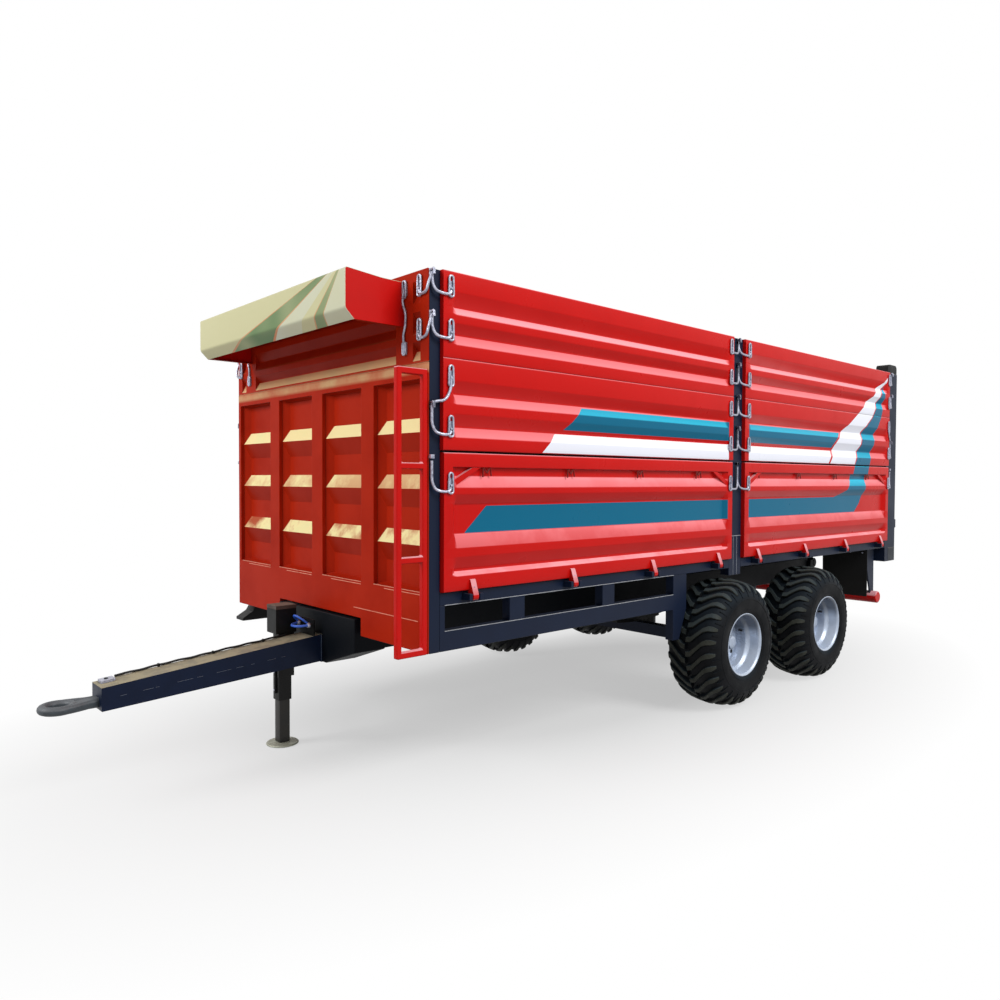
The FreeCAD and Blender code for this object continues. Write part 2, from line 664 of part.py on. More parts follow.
def bed_rails():
    """Long rails under the floor, each with the ear that turns on the tipping pin."""
    rail = box(RAIL_INNER, RAIL_OUTER, FRONT_WALL_THICK, SILL_START, BED_RAIL_BOTTOM, CROSS_BOTTOM)
    x0 = RAIL_CENTRE - EAR_WIDTH / 2
    x1 = RAIL_CENTRE + EAR_WIDTH / 2
    ear = box(x0, x1, TIP_Y - TIP_LUG_R, TIP_Y + TIP_LUG_R, TIP_Z, BED_RAIL_BOTTOM)
    eye = rod_x(TIP_LUG_R, x0, x1, TIP_Y, TIP_Z)
    hole = rod_x(TIP_PIN_R + RUN_FIT, x0 - 1, x1 + 1, TIP_Y, TIP_Z)
    return both(join(rail, ear, eye).cut(hole))


def side_rails():
    """Edge channels of the floor, one a bay on each side."""
    inner = HALF_WIDTH - SIDE_RAIL_WIDTH
    outline = [(inner, CROSS_BOTTOM), (HALF_WIDTH, CROSS_BOTTOM), (HALF_WIDTH, FLOOR_TOP),
               (WALL_IN, FLOOR_TOP), (WALL_IN, FLOOR_BOTTOM), (inner, FLOOR_BOTTOM)]
    return both(*[prism_y(outline, y0, y1) for y0, y1 in BAYS])


def rear_sill():
    """Beam across the rear of the floor."""
    return box(-REAR_POST_INNER, REAR_POST_INNER, SILL_START, SILL_END, BED_RAIL_BOTTOM,
               FLOOR_BOTTOM)


def side_skirts():
    """Windowed skirt under the front bay, with the tail that runs down before the wheel."""
    inner = HALF_WIDTH - SKIRT_THICK
    end = AXLE_FRONT_Y - SKIRT_TO_AXLE
    tail = end - SKIRT_TAIL
    foot = SKIRT_BOTTOM - SKIRT_TAIL_DROP
    outline = [(FRONT_PILLAR, SKIRT_BOTTOM), (FRONT_PILLAR, CROSS_BOTTOM), (end, CROSS_BOTTOM),
               (end, SKIRT_BOTTOM), (end - SKIRT_TAIL_SLANT, foot), (tail, foot),
               (tail, SKIRT_BOTTOM)]
    skirt = prism_x(outline, inner, HALF_WIDTH)
    start = FRONT_PILLAR + SKIRT_FIRST_POST
    open_length = tail - start - (len(SKIRT_SHARES) - 1) * SKIRT_POST
    for share in SKIRT_SHARES:
        width = share * open_length
        skirt = skirt.cut(box(inner, HALF_WIDTH, start, start + width,
                              SKIRT_BOTTOM + SKIRT_RAIL, CROSS_BOTTOM))
        start += width + SKIRT_POST
    return both(skirt)


def front_plate(bottom, top):
    """Block of the front wall or board, whose front plate laps the corner pillars."""
    half = HALF_WIDTH - FRONT_PILLAR_DEPTH
    plate = box(-HALF_WIDTH, HALF_WIDTH, 0, FRONT_FLANGE, bottom, top)
    return join(box(-half, half, 0, FRONT_WALL_THICK, bottom, top), plate)


def panel_recess(x0, x1, z0, z1):
    """What is cut out in front of a pressed panel: straight to its lip, then slanting in."""
    sheet = FRONT_WALL_THICK - FRONT_SHEET
    rings = []
    for inward, down, y in ((PANEL_FLANK, PANEL_END, sheet), (0, 0, PANEL_SET), (0, 0, -1)):
        rings.append([V(x0 + inward, y, z0 + down), V(x1 - inward, y, z0 + down),
                      V(x1 - inward, y, z1 - down), V(x0 + inward, y, z1 - down)])
    return faceted(rings)


def pressed_rib(x0, x1, z):
    """A pressed rib across a panel, from flank to flank, with a sharp ridge."""
    sheet = FRONT_WALL_THICK - FRONT_SHEET
    back = sheet + FRONT_SHEET / 2
    outline = [(back, z - PRESS_FALL), (sheet, z - PRESS_FALL), (PANEL_SET + PRESS_SET, z),
               (sheet, z + PRESS_RISE), (back, z + PRESS_RISE)]
    return prism_x(outline, x0, x1)


def front_wall():
    """Lower front wall: posts and header round pressed panels, over a plain apron."""
    wall = front_plate(SKIRT_BOTTOM, FRONT_SEAM)
    apron = FLOOR_TOP + APRON_RISE
    pitch = BODY_WIDTH / FRONT_BAYS
    ribs = []
    for bay in range(FRONT_BAYS):
        x0 = -HALF_WIDTH + bay * pitch + (FRONT_POST / 2 if bay else FRONT_EDGE)
        x1 = (-HALF_WIDTH + (bay + 1) * pitch
              - (FRONT_POST / 2 if bay < FRONT_BAYS - 1 else FRONT_EDGE))
        wall = wall.cut(panel_recess(x0, x1, apron, FRONT_SEAM - FRONT_HEADER))
        ribs += [pressed_rib(x0, x1, apron + PRESS_FIRST + number * PRESS_PITCH)
                 for number in range(PRESS_COUNT)]
    notch = FRONT_BOX_HALF + NOTCH_GAP
    return join(wall, *ribs).cut(box(-notch, notch, -1, FRONT_WALL_THICK + 1, SKIRT_BOTTOM - 1,
                                     CHASSIS_TOP + 2 * MOVING_GAP))


def front_upper_board():
    """Ribbed board over the front wall, with posts for the hood and a frame at each end."""
    height = BODY_TOP - FRONT_SEAM
    reach = HALF_WIDTH - UPPER_EDGE
    board = front_plate(FRONT_SEAM, BODY_TOP)
    points = [(-1, BODY_TOP + 1), (-1, FRONT_SEAM - 1), (0, FRONT_SEAM - 1)]
    for upper, high, _, lower in reversed(FRONT_VALLEYS):
        points.append((0, FRONT_SEAM + lower * height))
        points.append((RIB_DEPTH, FRONT_SEAM + high * height))
        points.append((0, FRONT_SEAM + upper * height))
    points.append((0, BODY_TOP + 1))
    board = board.cut(prism_x(points, -reach, reach))
    outer = HALF_WIDTH - UPPER_POST_INSET
    post = box(outer - UPPER_POST, outer, 0, FRONT_WALL_THICK, FRONT_SEAM, BODY_TOP)
    return join(board, post, mirrored(post))


def hood():
    """Folded cover over the front, open below and behind."""
    half = HALF_WIDTH - HOOD_INSET
    top = BODY_TOP - HOOD_DROP
    face = top - HOOD_FACE
    bottom = face - HOOD_LIP
    t = HOOD_SHEET
    outline = [(0, top), (-HOOD_REACH, top), (-HOOD_REACH, face),
               (-HOOD_REACH + HOOD_LIP, bottom), (0, bottom)]
    inner = [(-t, top - t), (-HOOD_REACH + t, top - t), (-HOOD_REACH + t, face),
             (-HOOD_REACH + HOOD_LIP + t, bottom), (-t, bottom)]
    return prism_x(outline, -half, half).cut(prism_x(inner, -half + t, half - t))


def ladder():
    """Narrow climbing ladder that stands ahead of the front wall, in line with the side."""
    t = LADDER_TUBE
    top = LADDER_RUNGS[-1] + t
    stiles = [box(LADDER_INNER, HALF_WIDTH, y, y + t, SKIRT_BOTTOM, top)
              for y in (-LADDER_REACH, -t)]
    rungs = [box(LADDER_INNER, HALF_WIDTH, t - LADDER_REACH, -t, z, z + t) for z in LADDER_RUNGS]
    return join(*stiles, *rungs)


def tailgate():
    """Full-height rear door hung from its top corners."""
    half = REAR_POST_INNER - GATE_SIDE_GAP
    bottom = FLOOR_BOTTOM - GATE_LAP
    top = BODY_TOP - GATE_TOP_DROP
    f = GATE_FRAME
    gate = box(-half, half, GATE_FRONT, GATE_BACK, bottom, top)
    width = (2 * half - (GATE_BAYS + 1) * f) / GATE_BAYS
    for bay in range(GATE_BAYS):
        x0 = -half + f + bay * (width + f)
        gate = gate.cut(box(x0, x0 + width, GATE_BACK - GATE_RECESS, GATE_BACK, bottom + f, top - f))
    outline = [(GATE_BACK, top), (GATE_FRONT, top), (PIVOT_Y - GATE_EYE, PIVOT_Z),
               (PIVOT_Y, PIVOT_Z + GATE_EYE), (GATE_BACK, PIVOT_Z)]
    arm = join(prism_x(outline, half - GATE_ARM, half),
               rod_x(GATE_PIN_R, half, REAR_POST_INNER + GATE_PIN_IN, PIVOT_Y, PIVOT_Z))
    return join(gate, arm, mirrored(arm))


def underrun_bar():
    half = HALF_WIDTH - UNDERRUN_INSET
    return rod_x(UNDERRUN_R, -half, half, UNDERRUN_Y, UNDERRUN_Z)


def underrun_brackets():
    """Tapered plates that hang the underrun bar from the floor's edge."""
    outer = HALF_WIDTH - BRACKET_INSET
    inner = outer - BRACKET_PLATE
    front = UNDERRUN_Y - BRACKET_FRONT
    rear = UNDERRUN_Y + BRACKET_REAR
    shoulder = CROSS_BOTTOM - BRACKET_STRAIGHT
    outline = [(front, CROSS_BOTTOM), (rear, CROSS_BOTTOM), (rear, shoulder),
               (UNDERRUN_Y + BRACKET_TOE, UNDERRUN_Z), (UNDERRUN_Y - BRACKET_TOE, UNDERRUN_Z),
               (front, shoulder)]
    plate = prism_x(outline, inner, outer)
    flange = box(outer - BRACKET_FLANGE_WIDTH, outer, front, rear, CROSS_BOTTOM - BRACKET_FLANGE,
                 CROSS_BOTTOM)
    seat = rod_x(UNDERRUN_R + SEAT_GAP, inner - 1, outer + 1, UNDERRUN_Y, UNDERRUN_Z)
    return both(join(plate, flange).cut(seat))


def mud_flaps():
    outer = HALF_WIDTH - FLAP_INSET
    return both(box(outer - FLAP_WIDTH, outer, FLAP_Y, FLAP_Y + FLAP_SHEET, FLAP_BOTTOM,
                    CROSS_BOTTOM))


def flap_hangers():
    """Angle bars under the floor that the mud flaps are bolted to."""
    outer = HALF_WIDTH - FLAP_INSET
    y = FLAP_Y + FLAP_SHEET
    t = FLAP_HANGER_SHEET
    outline = [(y, CROSS_BOTTOM - FLAP_HANGER), (y, CROSS_BOTTOM),
               (y + FLAP_HANGER_FOOT, CROSS_BOTTOM), (y + FLAP_HANGER_FOOT, CROSS_BOTTOM - t),
               (y + t, CROSS_BOTTOM - t), (y + t, CROSS_BOTTOM - FLAP_HANGER)]
    return both(prism_x(outline, outer - FLAP_WIDTH, outer))


def tail_lamps():
    outer = HALF_WIDTH - LAMP_INSET
    low = BED_RAIL_BOTTOM + LAMP_RISE
    return both(box(outer - LAMP_WIDTH, outer, SILL_END, SILL_END + LAMP_DEPTH, low,
                    low + LAMP_HEIGHT))


def wheel_chock():
    """Wheel chock stowed on its plate under the right front corner."""
    outer = -HALF_WIDTH - CHOCK_PROUD
    end = CHOCK_START + CHOCK_LENGTH
    low = SKIRT_BOTTOM - CHOCK_HEIGHT
    outline = [(CHOCK_START, low), (CHOCK_START, low + CHOCK_PLATE),
               (CHOCK_START + CHOCK_LENGTH / 3, low + CHOCK_HEIGHT / 2),
               (CHOCK_START + CHOCK_LENGTH / 2, SKIRT_BOTTOM), (end, SKIRT_BOTTOM), (end, low)]
    return prism_x(outline, outer, outer + CHOCK_WIDTH)


# --- Chassis -----------------------------------------------------------------
def chassis_rails():
    """Long rails, shallower at the tail."""
    tail = CHASSIS_END - TAIL_LENGTH
    outline = [(CHASSIS_START, CHASSIS_BOTTOM), (CHASSIS_START, CHASSIS_TOP),
               (CHASSIS_END, CHASSIS_TOP), (CHASSIS_END, CHASSIS_BOTTOM + TAIL_RISE),
               (tail, CHASSIS_BOTTOM + TAIL_RISE), (tail - TAIL_TAPER, CHASSIS_BOTTOM)]
    return both(prism_x(outline, RAIL_INNER, RAIL_OUTER))


def front_box():
    """Deep beam in two tiers across the front of the chassis, which carries the drawbar."""
    step = CHASSIS_TOP - BOX_STEP_DEPTH
    outline = [(FRONT_BOX_START, step), (FRONT_BOX_START, CHASSIS_TOP),
               (CHASSIS_START, CHASSIS_TOP), (CHASSIS_START, FRONT_BOX_BOTTOM),
               (FRONT_BOX_START + BOX_STEP, FRONT_BOX_BOTTOM), (FRONT_BOX_START + BOX_STEP, step)]
    return prism_x(outline, -FRONT_BOX_HALF, FRONT_BOX_HALF)


def chassis_cross(y):
    high = CHASSIS_TOP - CHASSIS_CROSS_DROP
    return box(-RAIL_INNER, RAIL_INNER, y, y + CHASSIS_CROSS, high - CHASSIS_CROSS_DEPTH, high)


def ram_frame():
    """Two cross-members with the plates between them that hold the ram's trunnions."""
    reach = RAM_BARREL_R + RAM_SWING_GAP
    x0 = RAM_BARREL_R + RAM_CRADLE_GAP
    x1 = x0 + RAM_CRADLE_PLATE
    plate = box(x0, x1, RAM_Y - reach, RAM_Y + reach, RAM_PIVOT_Z - RAM_CRADLE_HALF,
                RAM_PIVOT_Z + RAM_CRADLE_HALF)
    plate = plate.cut(rod_x(RAM_TRUNNION_R + RUN_FIT, x0 - 1, x1 + 1, RAM_Y, RAM_PIVOT_Z))
    return join(chassis_cross(RAM_Y - reach - CHASSIS_CROSS), chassis_cross(RAM_Y + reach), plate,
                mirrored(plate))


def chassis_cross_members():
    return Part.Compound([chassis_cross(FRONT_CROSS_Y), ram_frame(),
                          chassis_cross(TIP_Y - REAR_CROSS_BACK)])


def tip_hinge():
    """Rear cross-member with the lugs and pins that the bed tips on."""
    half = RAIL_OUTER + TIP_LUG
    beam = box(-half, half, CHASSIS_END, CHASSIS_END + TIP_BEAM, CHASSIS_BOTTOM + TAIL_RISE,
               CHASSIS_TOP - TIP_BEAM_DROP)
    near = EAR_WIDTH / 2 + PIN_SIDE_GAP
    far = near + TIP_LUG
    pieces = [rod_x(TIP_PIN_R, RAIL_CENTRE - far - TIP_PIN_END, RAIL_CENTRE + far + TIP_PIN_END,
                    TIP_Y, TIP_Z)]
    for x0, x1 in ((RAIL_CENTRE - far, RAIL_CENTRE - near), (RAIL_CENTRE + near, RAIL_CENTRE + far)):
        pieces.append(box(x0, x1, CHASSIS_END + TIP_BEAM, TIP_Y, TIP_Z - TIP_LUG_R,
                          CHASSIS_TOP - TIP_BEAM_DROP))
        pieces.append(rod_x(TIP_LUG_R, x0, x1, TIP_Y, TIP_Z))
    return join(beam, *pieces, *[mirrored(piece) for piece in pieces])


def drawbar():
    """Tapered beam on the centre line, welded to a root plate."""
    face = FRONT_BOX_START + BOX_STEP
    outline = [(face, DRAWBAR_LOW), (face, DRAWBAR_HIGH),
               (DRAWBAR_FRONT, EYE_Z + DRAWBAR_TIP_HIGH), (DRAWBAR_FRONT, EYE_Z - DRAWBAR_TIP_LOW)]
    beam = prism_x(outline, -DRAWBAR_HALF, DRAWBAR_HALF)
    half = DRAWBAR_HALF + ROOT_PLATE_RIM
    plate = box(-half, half, face - ROOT_PLATE, face, FRONT_BOX_BOTTOM,
                CHASSIS_TOP - BOX_STEP_DEPTH)
    return join(beam, plate)


def tow_eye():
    """Ring and shank of the drawbar eye."""
    ring_r = EYE_HOLE_R + EYE_BAR
    centre = EYE_TIP + ring_r
    half = EYE_BAR / 2
    bevel = EYE_BEVEL
    section = [(EYE_HOLE_R, -half), (ring_r - bevel, -half), (ring_r, -half + bevel),
               (ring_r, half - bevel), (ring_r - bevel, half), (EYE_HOLE_R, half)]
    ring = turned_z(section, centre, EYE_Z)
    outline = [V(-ring_r + bevel, centre + bevel, EYE_Z - half), V(ring_r - bevel, centre + bevel, EYE_Z - half),
               V(EYE_SHANK / 2, DRAWBAR_FRONT, EYE_Z - half),
               V(-EYE_SHANK / 2, DRAWBAR_FRONT, EYE_Z - half)]
    shank = Part.Face(Part.makePolygon(outline + outline[:1])).extrude(V(0, 0, EYE_BAR))
    hole = Part.makeCylinder(EYE_HOLE_R, EYE_BAR, V(0, centre, EYE_Z - half))
    return join(ring, shank.cut(hole))


def service_bracket():
    """Plate at the drawbar's root with the two couplings of the brake line."""
    back = SERVICE_FRONT + SERVICE_PLATE
    plate = box(-SERVICE_PLATE_HALF, SERVICE_PLATE_HALF, SERVICE_FRONT, back, DRAWBAR_LOW,
                SERVICE_Z + SERVICE_PLATE_RIM)
    pieces = []
    for side in (-1, 1):
        start = V(side * SERVICE_LOOP, back, SERVICE_Z)
        pieces.append(rod(SERVICE_COUPLING_R, start, start - V(0, SERVICE_COUPLING, 0)))
    return join(plate, *pieces).cut(drawbar())


def service_hose():
    """Short hose that loops from one coupling to the other."""
    start = SERVICE_FRONT + SERVICE_PLATE - SERVICE_COUPLING
    half = SERVICE_HOSE_R / 2
    section = [(SERVICE_LOOP - SERVICE_HOSE_R, -half), (SERVICE_LOOP - half, -SERVICE_HOSE_R),
               (SERVICE_LOOP + half, -SERVICE_HOSE_R), (SERVICE_LOOP + SERVICE_HOSE_R, -half),
               (SERVICE_LOOP + SERVICE_HOSE_R, half), (SERVICE_LOOP + half, SERVICE_HOSE_R),
               (SERVICE_LOOP - half, SERVICE_HOSE_R), (SERVICE_LOOP - SERVICE_HOSE_R, half)]
    return turned_z(section, start, SERVICE_Z, 180)


def jack_housing():
    """Outer tube of the parking jack, its head and its plate on the drawbar."""
    bore_top = DRAWBAR_HIGH - JACK_BORE_END
    low, high = V(JACK_X, JACK_Y, JACK_TUBE_BOTTOM), V(JACK_X, JACK_Y, DRAWBAR_HIGH)
    tube = rod(JACK_TUBE_R, low, high)
    half = JACK_HEAD / 2
    head = box(JACK_X - half, -DRAWBAR_HALF, JACK_Y - half, JACK_Y + half, DRAWBAR_HIGH,
               DRAWBAR_HIGH + JACK_HEAD_HEIGHT)
    strap = box(JACK_X, -DRAWBAR_HALF, JACK_Y - JACK_STRAP_HALF, JACK_Y + JACK_STRAP_HALF,
                DRAWBAR_LOW, DRAWBAR_HIGH)
    bore = rod(JACK_LEG_R + RUN_FIT, low, V(JACK_X, JACK_Y, bore_top))
    return join(tube, head, strap).cut(bore)


def jack_leg():
    """Sliding leg of the jack with its round foot."""
    foot = rod(JACK_FOOT_R, V(JACK_X, JACK_Y, 0), V(JACK_X, JACK_Y, JACK_FOOT))
    leg = rod(JACK_LEG_R, V(JACK_X, JACK_Y, JACK_FOOT), V(JACK_X, JACK_Y, JACK_LEG_TOP))
    return join(foot, leg)


# --- Running gear ------------------------------------------------------------
def axle(y):
    """Square beam with a round spindle at each end."""
    half = AXLE_BEAM / 2
    reach = WHEEL_CENTRE_X - HUB_IN - HUB_SIDE_GAP
    beam = box(-reach, reach, y - half, y + half, TYRE_R - half, TYRE_R + half)
    end = WHEEL_CENTRE_X + SPINDLE_END
    return join(beam, rod_x(SPINDLE_R, -end, end, y, TYRE_R))


def spring_eye_z():
    """Height of the eyes at the ends of a spring's main leaf."""
    return TYRE_R + AXLE_BEAM / 2 + (SPRING_LEAVES - 0.5) * SPRING_LEAF + SPRING_RISE


def curved_leaf(x0, y, half, low, rise):
    """A leaf bent to an arc, thickness SPRING_LEAF."""
    high = low + SPRING_LEAF
    lower = Part.Arc(V(x0, y - half, low + rise), V(x0, y, low), V(x0, y + half, low + rise))
    upper = Part.Arc(V(x0, y + half, high + rise), V(x0, y, high), V(x0, y - half, high + rise))
    ends = [Part.makeLine(V(x0, y + half, low + rise), V(x0, y + half, high + rise)),
            Part.makeLine(V(x0, y - half, high + rise), V(x0, y - half, low + rise))]
    wire = Part.Wire([lower.toShape(), ends[0], upper.toShape(), ends[1]])
    return Part.Face(wire).extrude(V(SPRING_WIDTH, 0, 0))


def leaf_spring(y):
    """Stack of curved leaves over an axle, the longest with an eye at each end."""
    seat = TYRE_R + AXLE_BEAM / 2
    x0, x1 = RAIL_CENTRE - SPRING_WIDTH / 2, RAIL_CENTRE + SPRING_WIDTH / 2
    pieces = []
    for number in range(SPRING_LEAVES):
        share = 1 - SPRING_STEP * number
        low = seat + (SPRING_LEAVES - 1 - number) * SPRING_LEAF
        pieces.append(curved_leaf(x0, y, SPRING_HALF * share, low, SPRING_RISE * share ** 2))
    ends = (y - SPRING_HALF, y + SPRING_HALF)
    z = spring_eye_z()
    pieces += [rod_x(SPRING_EYE_R, x0, x1, end, z) for end in ends]
    return join(*pieces).cut([rod_x(SPRING_PIN_R + SEAT_GAP, x0 - 1, x1 + 1, end, z) for end in ends])


def leaf_springs():
    return both(*[leaf_spring(y) for y in AXLES])


def cheeks(outline):
    """The same plate on both sides of a spring."""
    near = SPRING_WIDTH / 2 + HANGER_GAP
    far = near + HANGER_CHEEK
    return [prism_x(outline, RAIL_CENTRE - far, RAIL_CENTRE - near),
            prism_x(outline, RAIL_CENTRE + near, RAIL_CENTRE + far)]


def spring_pin(y, radius=SPRING_PIN_R):
    far = SPRING_WIDTH / 2 + HANGER_GAP + HANGER_CHEEK
    return rod_x(radius, RAIL_CENTRE - far, RAIL_CENTRE + far, y, spring_eye_z())


def hanger_outline(y):
    low = spring_eye_z() - SPRING_EYE_R - SPRING_LEAF / 2
    return [(y - HANGER_LENGTH / 2, CHASSIS_BOTTOM), (y + HANGER_LENGTH / 2, CHASSIS_BOTTOM),
            (y + SPRING_EYE_R, low), (y - SPRING_EYE_R, low)]


def spring_hangers():
    """Brackets under the chassis rails for the outer eyes and for the equaliser's pivot."""
    hangers = [join(spring_pin(y), *cheeks(hanger_outline(y)))
               for y in (AXLES[0] - SPRING_HALF, AXLES[1] + SPRING_HALF)]
    block = prism_x(hanger_outline(AXLE_MIDDLE), RAIL_CENTRE - SPRING_WIDTH / 2,
                    RAIL_CENTRE + SPRING_WIDTH / 2)
    return both(*hangers, join(block, spring_pin(AXLE_MIDDLE)))


def equalisers():
    """Rockers between the two springs of each side."""
    z = spring_eye_z()
    eye = SPRING_EYE_R
    front, rear = AXLES[0] + SPRING_HALF, AXLES[1] - SPRING_HALF
    outline = [(front - eye, z + eye), (AXLE_MIDDLE, z + EQUALISER_HALF), (rear + eye, z + eye),
               (rear + eye, z - eye), (AXLE_MIDDLE, z - EQUALISER_HALF), (front - eye, z - eye)]
    rocker = join(spring_pin(front), spring_pin(rear), *cheeks(outline))
    return both(rocker.cut(spring_pin(AXLE_MIDDLE, SPRING_PIN_R + SEAT_GAP)))


def ring_point(x, radius, angle):
    """A point at this place across the tyre, this far from its axis, at this angle about it."""
    return V(x, radius * math.sin(angle), radius * math.cos(angle))


def tyre_carcass():
    """Tyre without its lugs: one flat facet a lug and a side, lofted through the section."""
    base = TYRE_R - LUG_DEPTH
    bead = RIM_FLANGE_R + 10 * SEAT_GAP
    edge = 2 * TREAD_HALF - SHOULDER_HALF + LUG_DEPTH / 2
    section = [(RIM_HALF, bead), (TYRE_HALF, SIDE_R), (SHOULDER_HALF, SHOULDER_R),
               (edge, base - CROWN_FALL), (CROWN_HALF, base)]
    section += [(-x, radius) for x, radius in reversed(section)]
    corner = FIRST_LUG + LUG_TRAIL / 2 + LUG_PITCH / 2
    solid = faceted([[ring_point(x, radius, corner + number * LUG_PITCH)
                      for number in range(LUG_COUNT)] for x, radius in section])
    bore = rod_x(RIM_SEAT_R + SEAT_GAP, -TYRE_HALF, TYRE_HALF, 0, 0)
    return solid.cut([bore] + [rod_x(bead, end * RIM_BEAD, end * TYRE_HALF, 0, 0) for end in (-1, 1)])


def lug(side, angle):
    """A bar on one half of the tread whose outer end trails its inner end."""
    half = LUG_WIDTH / 2 / TYRE_R
    ends = []
    for x, top, turn in ((side * LUG_INNER, TYRE_R, 0),
                         (side * TREAD_HALF, TYRE_R - LUG_DEPTH, LUG_TRAIL)):
        foot = top - 2 * LUG_DEPTH
        ends.append([ring_point(x, top, angle + turn - half), ring_point(x, top, angle + turn + half),
                     ring_point(x, foot, angle + turn + half), ring_point(x, foot, angle + turn - half)])
    return faceted(ends, twisted=True)


def tyre():
    """Low-pressure tyre with slanted lugs, centred on the origin, resting on a lug's edge."""
    lugs = [lug(side, FIRST_LUG + number * LUG_PITCH)
            for side in (1, -1) for number in range(LUG_COUNT)]
    return join(tyre_carcass(), *lugs)


def rim():
    """Wide dished rim with its disc and hub, centred on the origin, outer side towards +X."""
    t = RIM_SHEET
    well = RIM_SEAT_R - RIM_WELL
    outer = [(RIM_HALF, RIM_FLANGE_R), (RIM_HALF - 10, RIM_FLANGE_R), (RIM_HALF - 12, RIM_SEAT_R),
             (110, RIM_SEAT_R - 2), (80, well)]
    inner = [(84, well - t), (112, RIM_SEAT_R - 2 - t), (RIM_HALF - t, RIM_SEAT_R - t),
             (RIM_HALF, RIM_FLANGE_R - t)]
    outline = outer + [(-x, r) for x, r in reversed(outer)]
    outline += [(-x, r) for x, r in reversed(inner)] + inner
    barrel = turned_x(outline, 0, 0, 0)
    disc = rod_x(well - t / 2, RIM_SET - RIM_DISC, RIM_SET, 0, 0)
    hub = rod_x(HUB_R, -HUB_IN, HUB_OUT, 0, 0)
    bore = rod_x(SPINDLE_R + RUN_FIT, -HUB_IN, SPINDLE_END + PIN_SIDE_GAP, 0, 0)
    return join(barrel, disc, hub).cut(bore)


def moved(shape, x, y, z):
    shape = shape.copy()
    shape.translate(V(x, y, z))
    return shape


def wheels():
    """Tyre and rim of each wheel; the right ones are mirror images."""
    pieces = {}
    for kind, left in (("tyre", tyre()), ("rim", rim())):
        for row, y in zip(("front", "rear"), AXLES):
            pieces[f"{kind}_{row}_left"] = moved(left, WHEEL_CENTRE_X, y, TYRE_R)
            pieces[f"{kind}_{row}_right"] = moved(mirrored(left), -WHEEL_CENTRE_X, y, TYRE_R)
    return pieces


# --- Ram ---------------------------------------------------------------------
def ram_body(stage, floor):
    """A tube of the ram with its closed foot this thick, or a solid rod if floor is None."""
    bottom = RAM_BOTTOM + (2 * RAM_WALL if stage else 0)
    top = CHASSIS_TOP - RAM_TOP_DROP + stage * RAM_STEP
    radius = RAM_BARREL_R - stage * RAM_WALL - (RUN_FIT if stage else 0)
    body = rod(radius, V(0, RAM_Y, bottom), V(0, RAM_Y, top))
    if floor is None:
        return body
    bore = RAM_BARREL_R - (stage + 1) * RAM_WALL
    return body.cut(rod(bore, V(0, RAM_Y, bottom + floor), V(0, RAM_Y, top)))


def ram_barrel():
    """Outer tube of the ram with its two trunnions."""
    end = RAM_BARREL_R + RAM_CRADLE_GAP + RAM_CRADLE_PLATE
    start = RAM_BARREL_R - RAM_WALL / 2
    trunnion = rod_x(RAM_TRUNNION_R, start, end, RAM_Y, RAM_PIVOT_Z)
    return join(ram_body(0, RAM_WALL), trunnion, mirrored(trunnion))


def ram_rod():
    """Innermost rod of the ram, with the eye that the bed's clevis takes."""
    return join(ram_body(RAM_STAGES, None),
                rod_x(RAM_EYE_R, -RAM_EYE_HALF, RAM_EYE_HALF, RAM_Y, RAM_EYE_Z))


def place(shape):
    """Move a piece from the drawing's y = 0 to the part's origin."""
    return moved(shape, 0, -ORIGIN_Y, 0)


def nodes():
    """Every piece by its name."""
    pieces = {
        "chassis_rails": chassis_rails(),
        "chassis_front_box": front_box(),
        "chassis_cross_members": chassis_cross_members(),
        "tip_hinge": tip_hinge(),
        "drawbar": drawbar(),
        "tow_eye": tow_eye(),
        "service_bracket": service_bracket(),
        "service_hose": service_hose(),
        "jack_housing": jack_housing(),
        "jack_leg": jack_leg(),
        "axles": Part.Compound([axle(y) for y in AXLES]),
        "leaf_springs": leaf_springs(),
        "spring_hangers": spring_hangers(),
        "equalisers": equalisers(),
        "bed_rails": bed_rails(),
        "bed_cross_members": bed_cross_members(),
        "bed_side_rails": side_rails(),
        "bed_floor": bed_floor(),
        "rear_sill": rear_sill(),
        "side_skirts": side_skirts(),
        "front_pillars": front_pillars(),
        "centre_pillars": centre_pillars(),
        "rear_posts": rear_posts(),
        "gate_pivot_blocks": gate_pivot_blocks(),
        "front_wall": front_wall(),
        "front_upper_board": front_upper_board(),
        "hood": hood(),
        "ladder": ladder(),
        "middle_boards": fixed_boards(MID_VALLEYS, SEAM_MID, SEAM_TOP),
        "top_boards": fixed_boards(TOP_VALLEYS, SEAM_TOP, BODY_TOP),
        "board_latches": board_latches(),
        "hinge_lugs": hinge_lugs(),
        "underrun_bar": underrun_bar(),
        "underrun_brackets": underrun_brackets(),
        "mud_flaps": mud_flaps(),
        "flap_hangers": flap_hangers(),
        "tail_lamps": tail_lamps(),
        "wheel_chock": wheel_chock(),
        "tailgate": tailgate(),
    }
    for bay, name in enumerate(("front", "rear")):
        side = drop_side(bay)
        pieces[f"drop_side_left_{name}"] = side
        pieces[f"drop_side_right_{name}"] = mirrored(side)
    pieces.update(wheels())
    pieces["ram_barrel"] = ram_barrel()
    for stage in range(1, RAM_STAGES):
        pieces[f"ram_stage_{stage}"] = ram_body(stage, 0)
    pieces[f"ram_stage_{RAM_STAGES}"] = ram_rod()
    return pieces


os.makedirs("parts", exist_ok=True)
ALL_NODES = nodes()
for name, shape in ALL_NODES.items():
    place(shape).exportStep(f"parts/{name}.step")
print("nodes:", len(ALL_NODES), "origin y:", ORIGIN_Y)
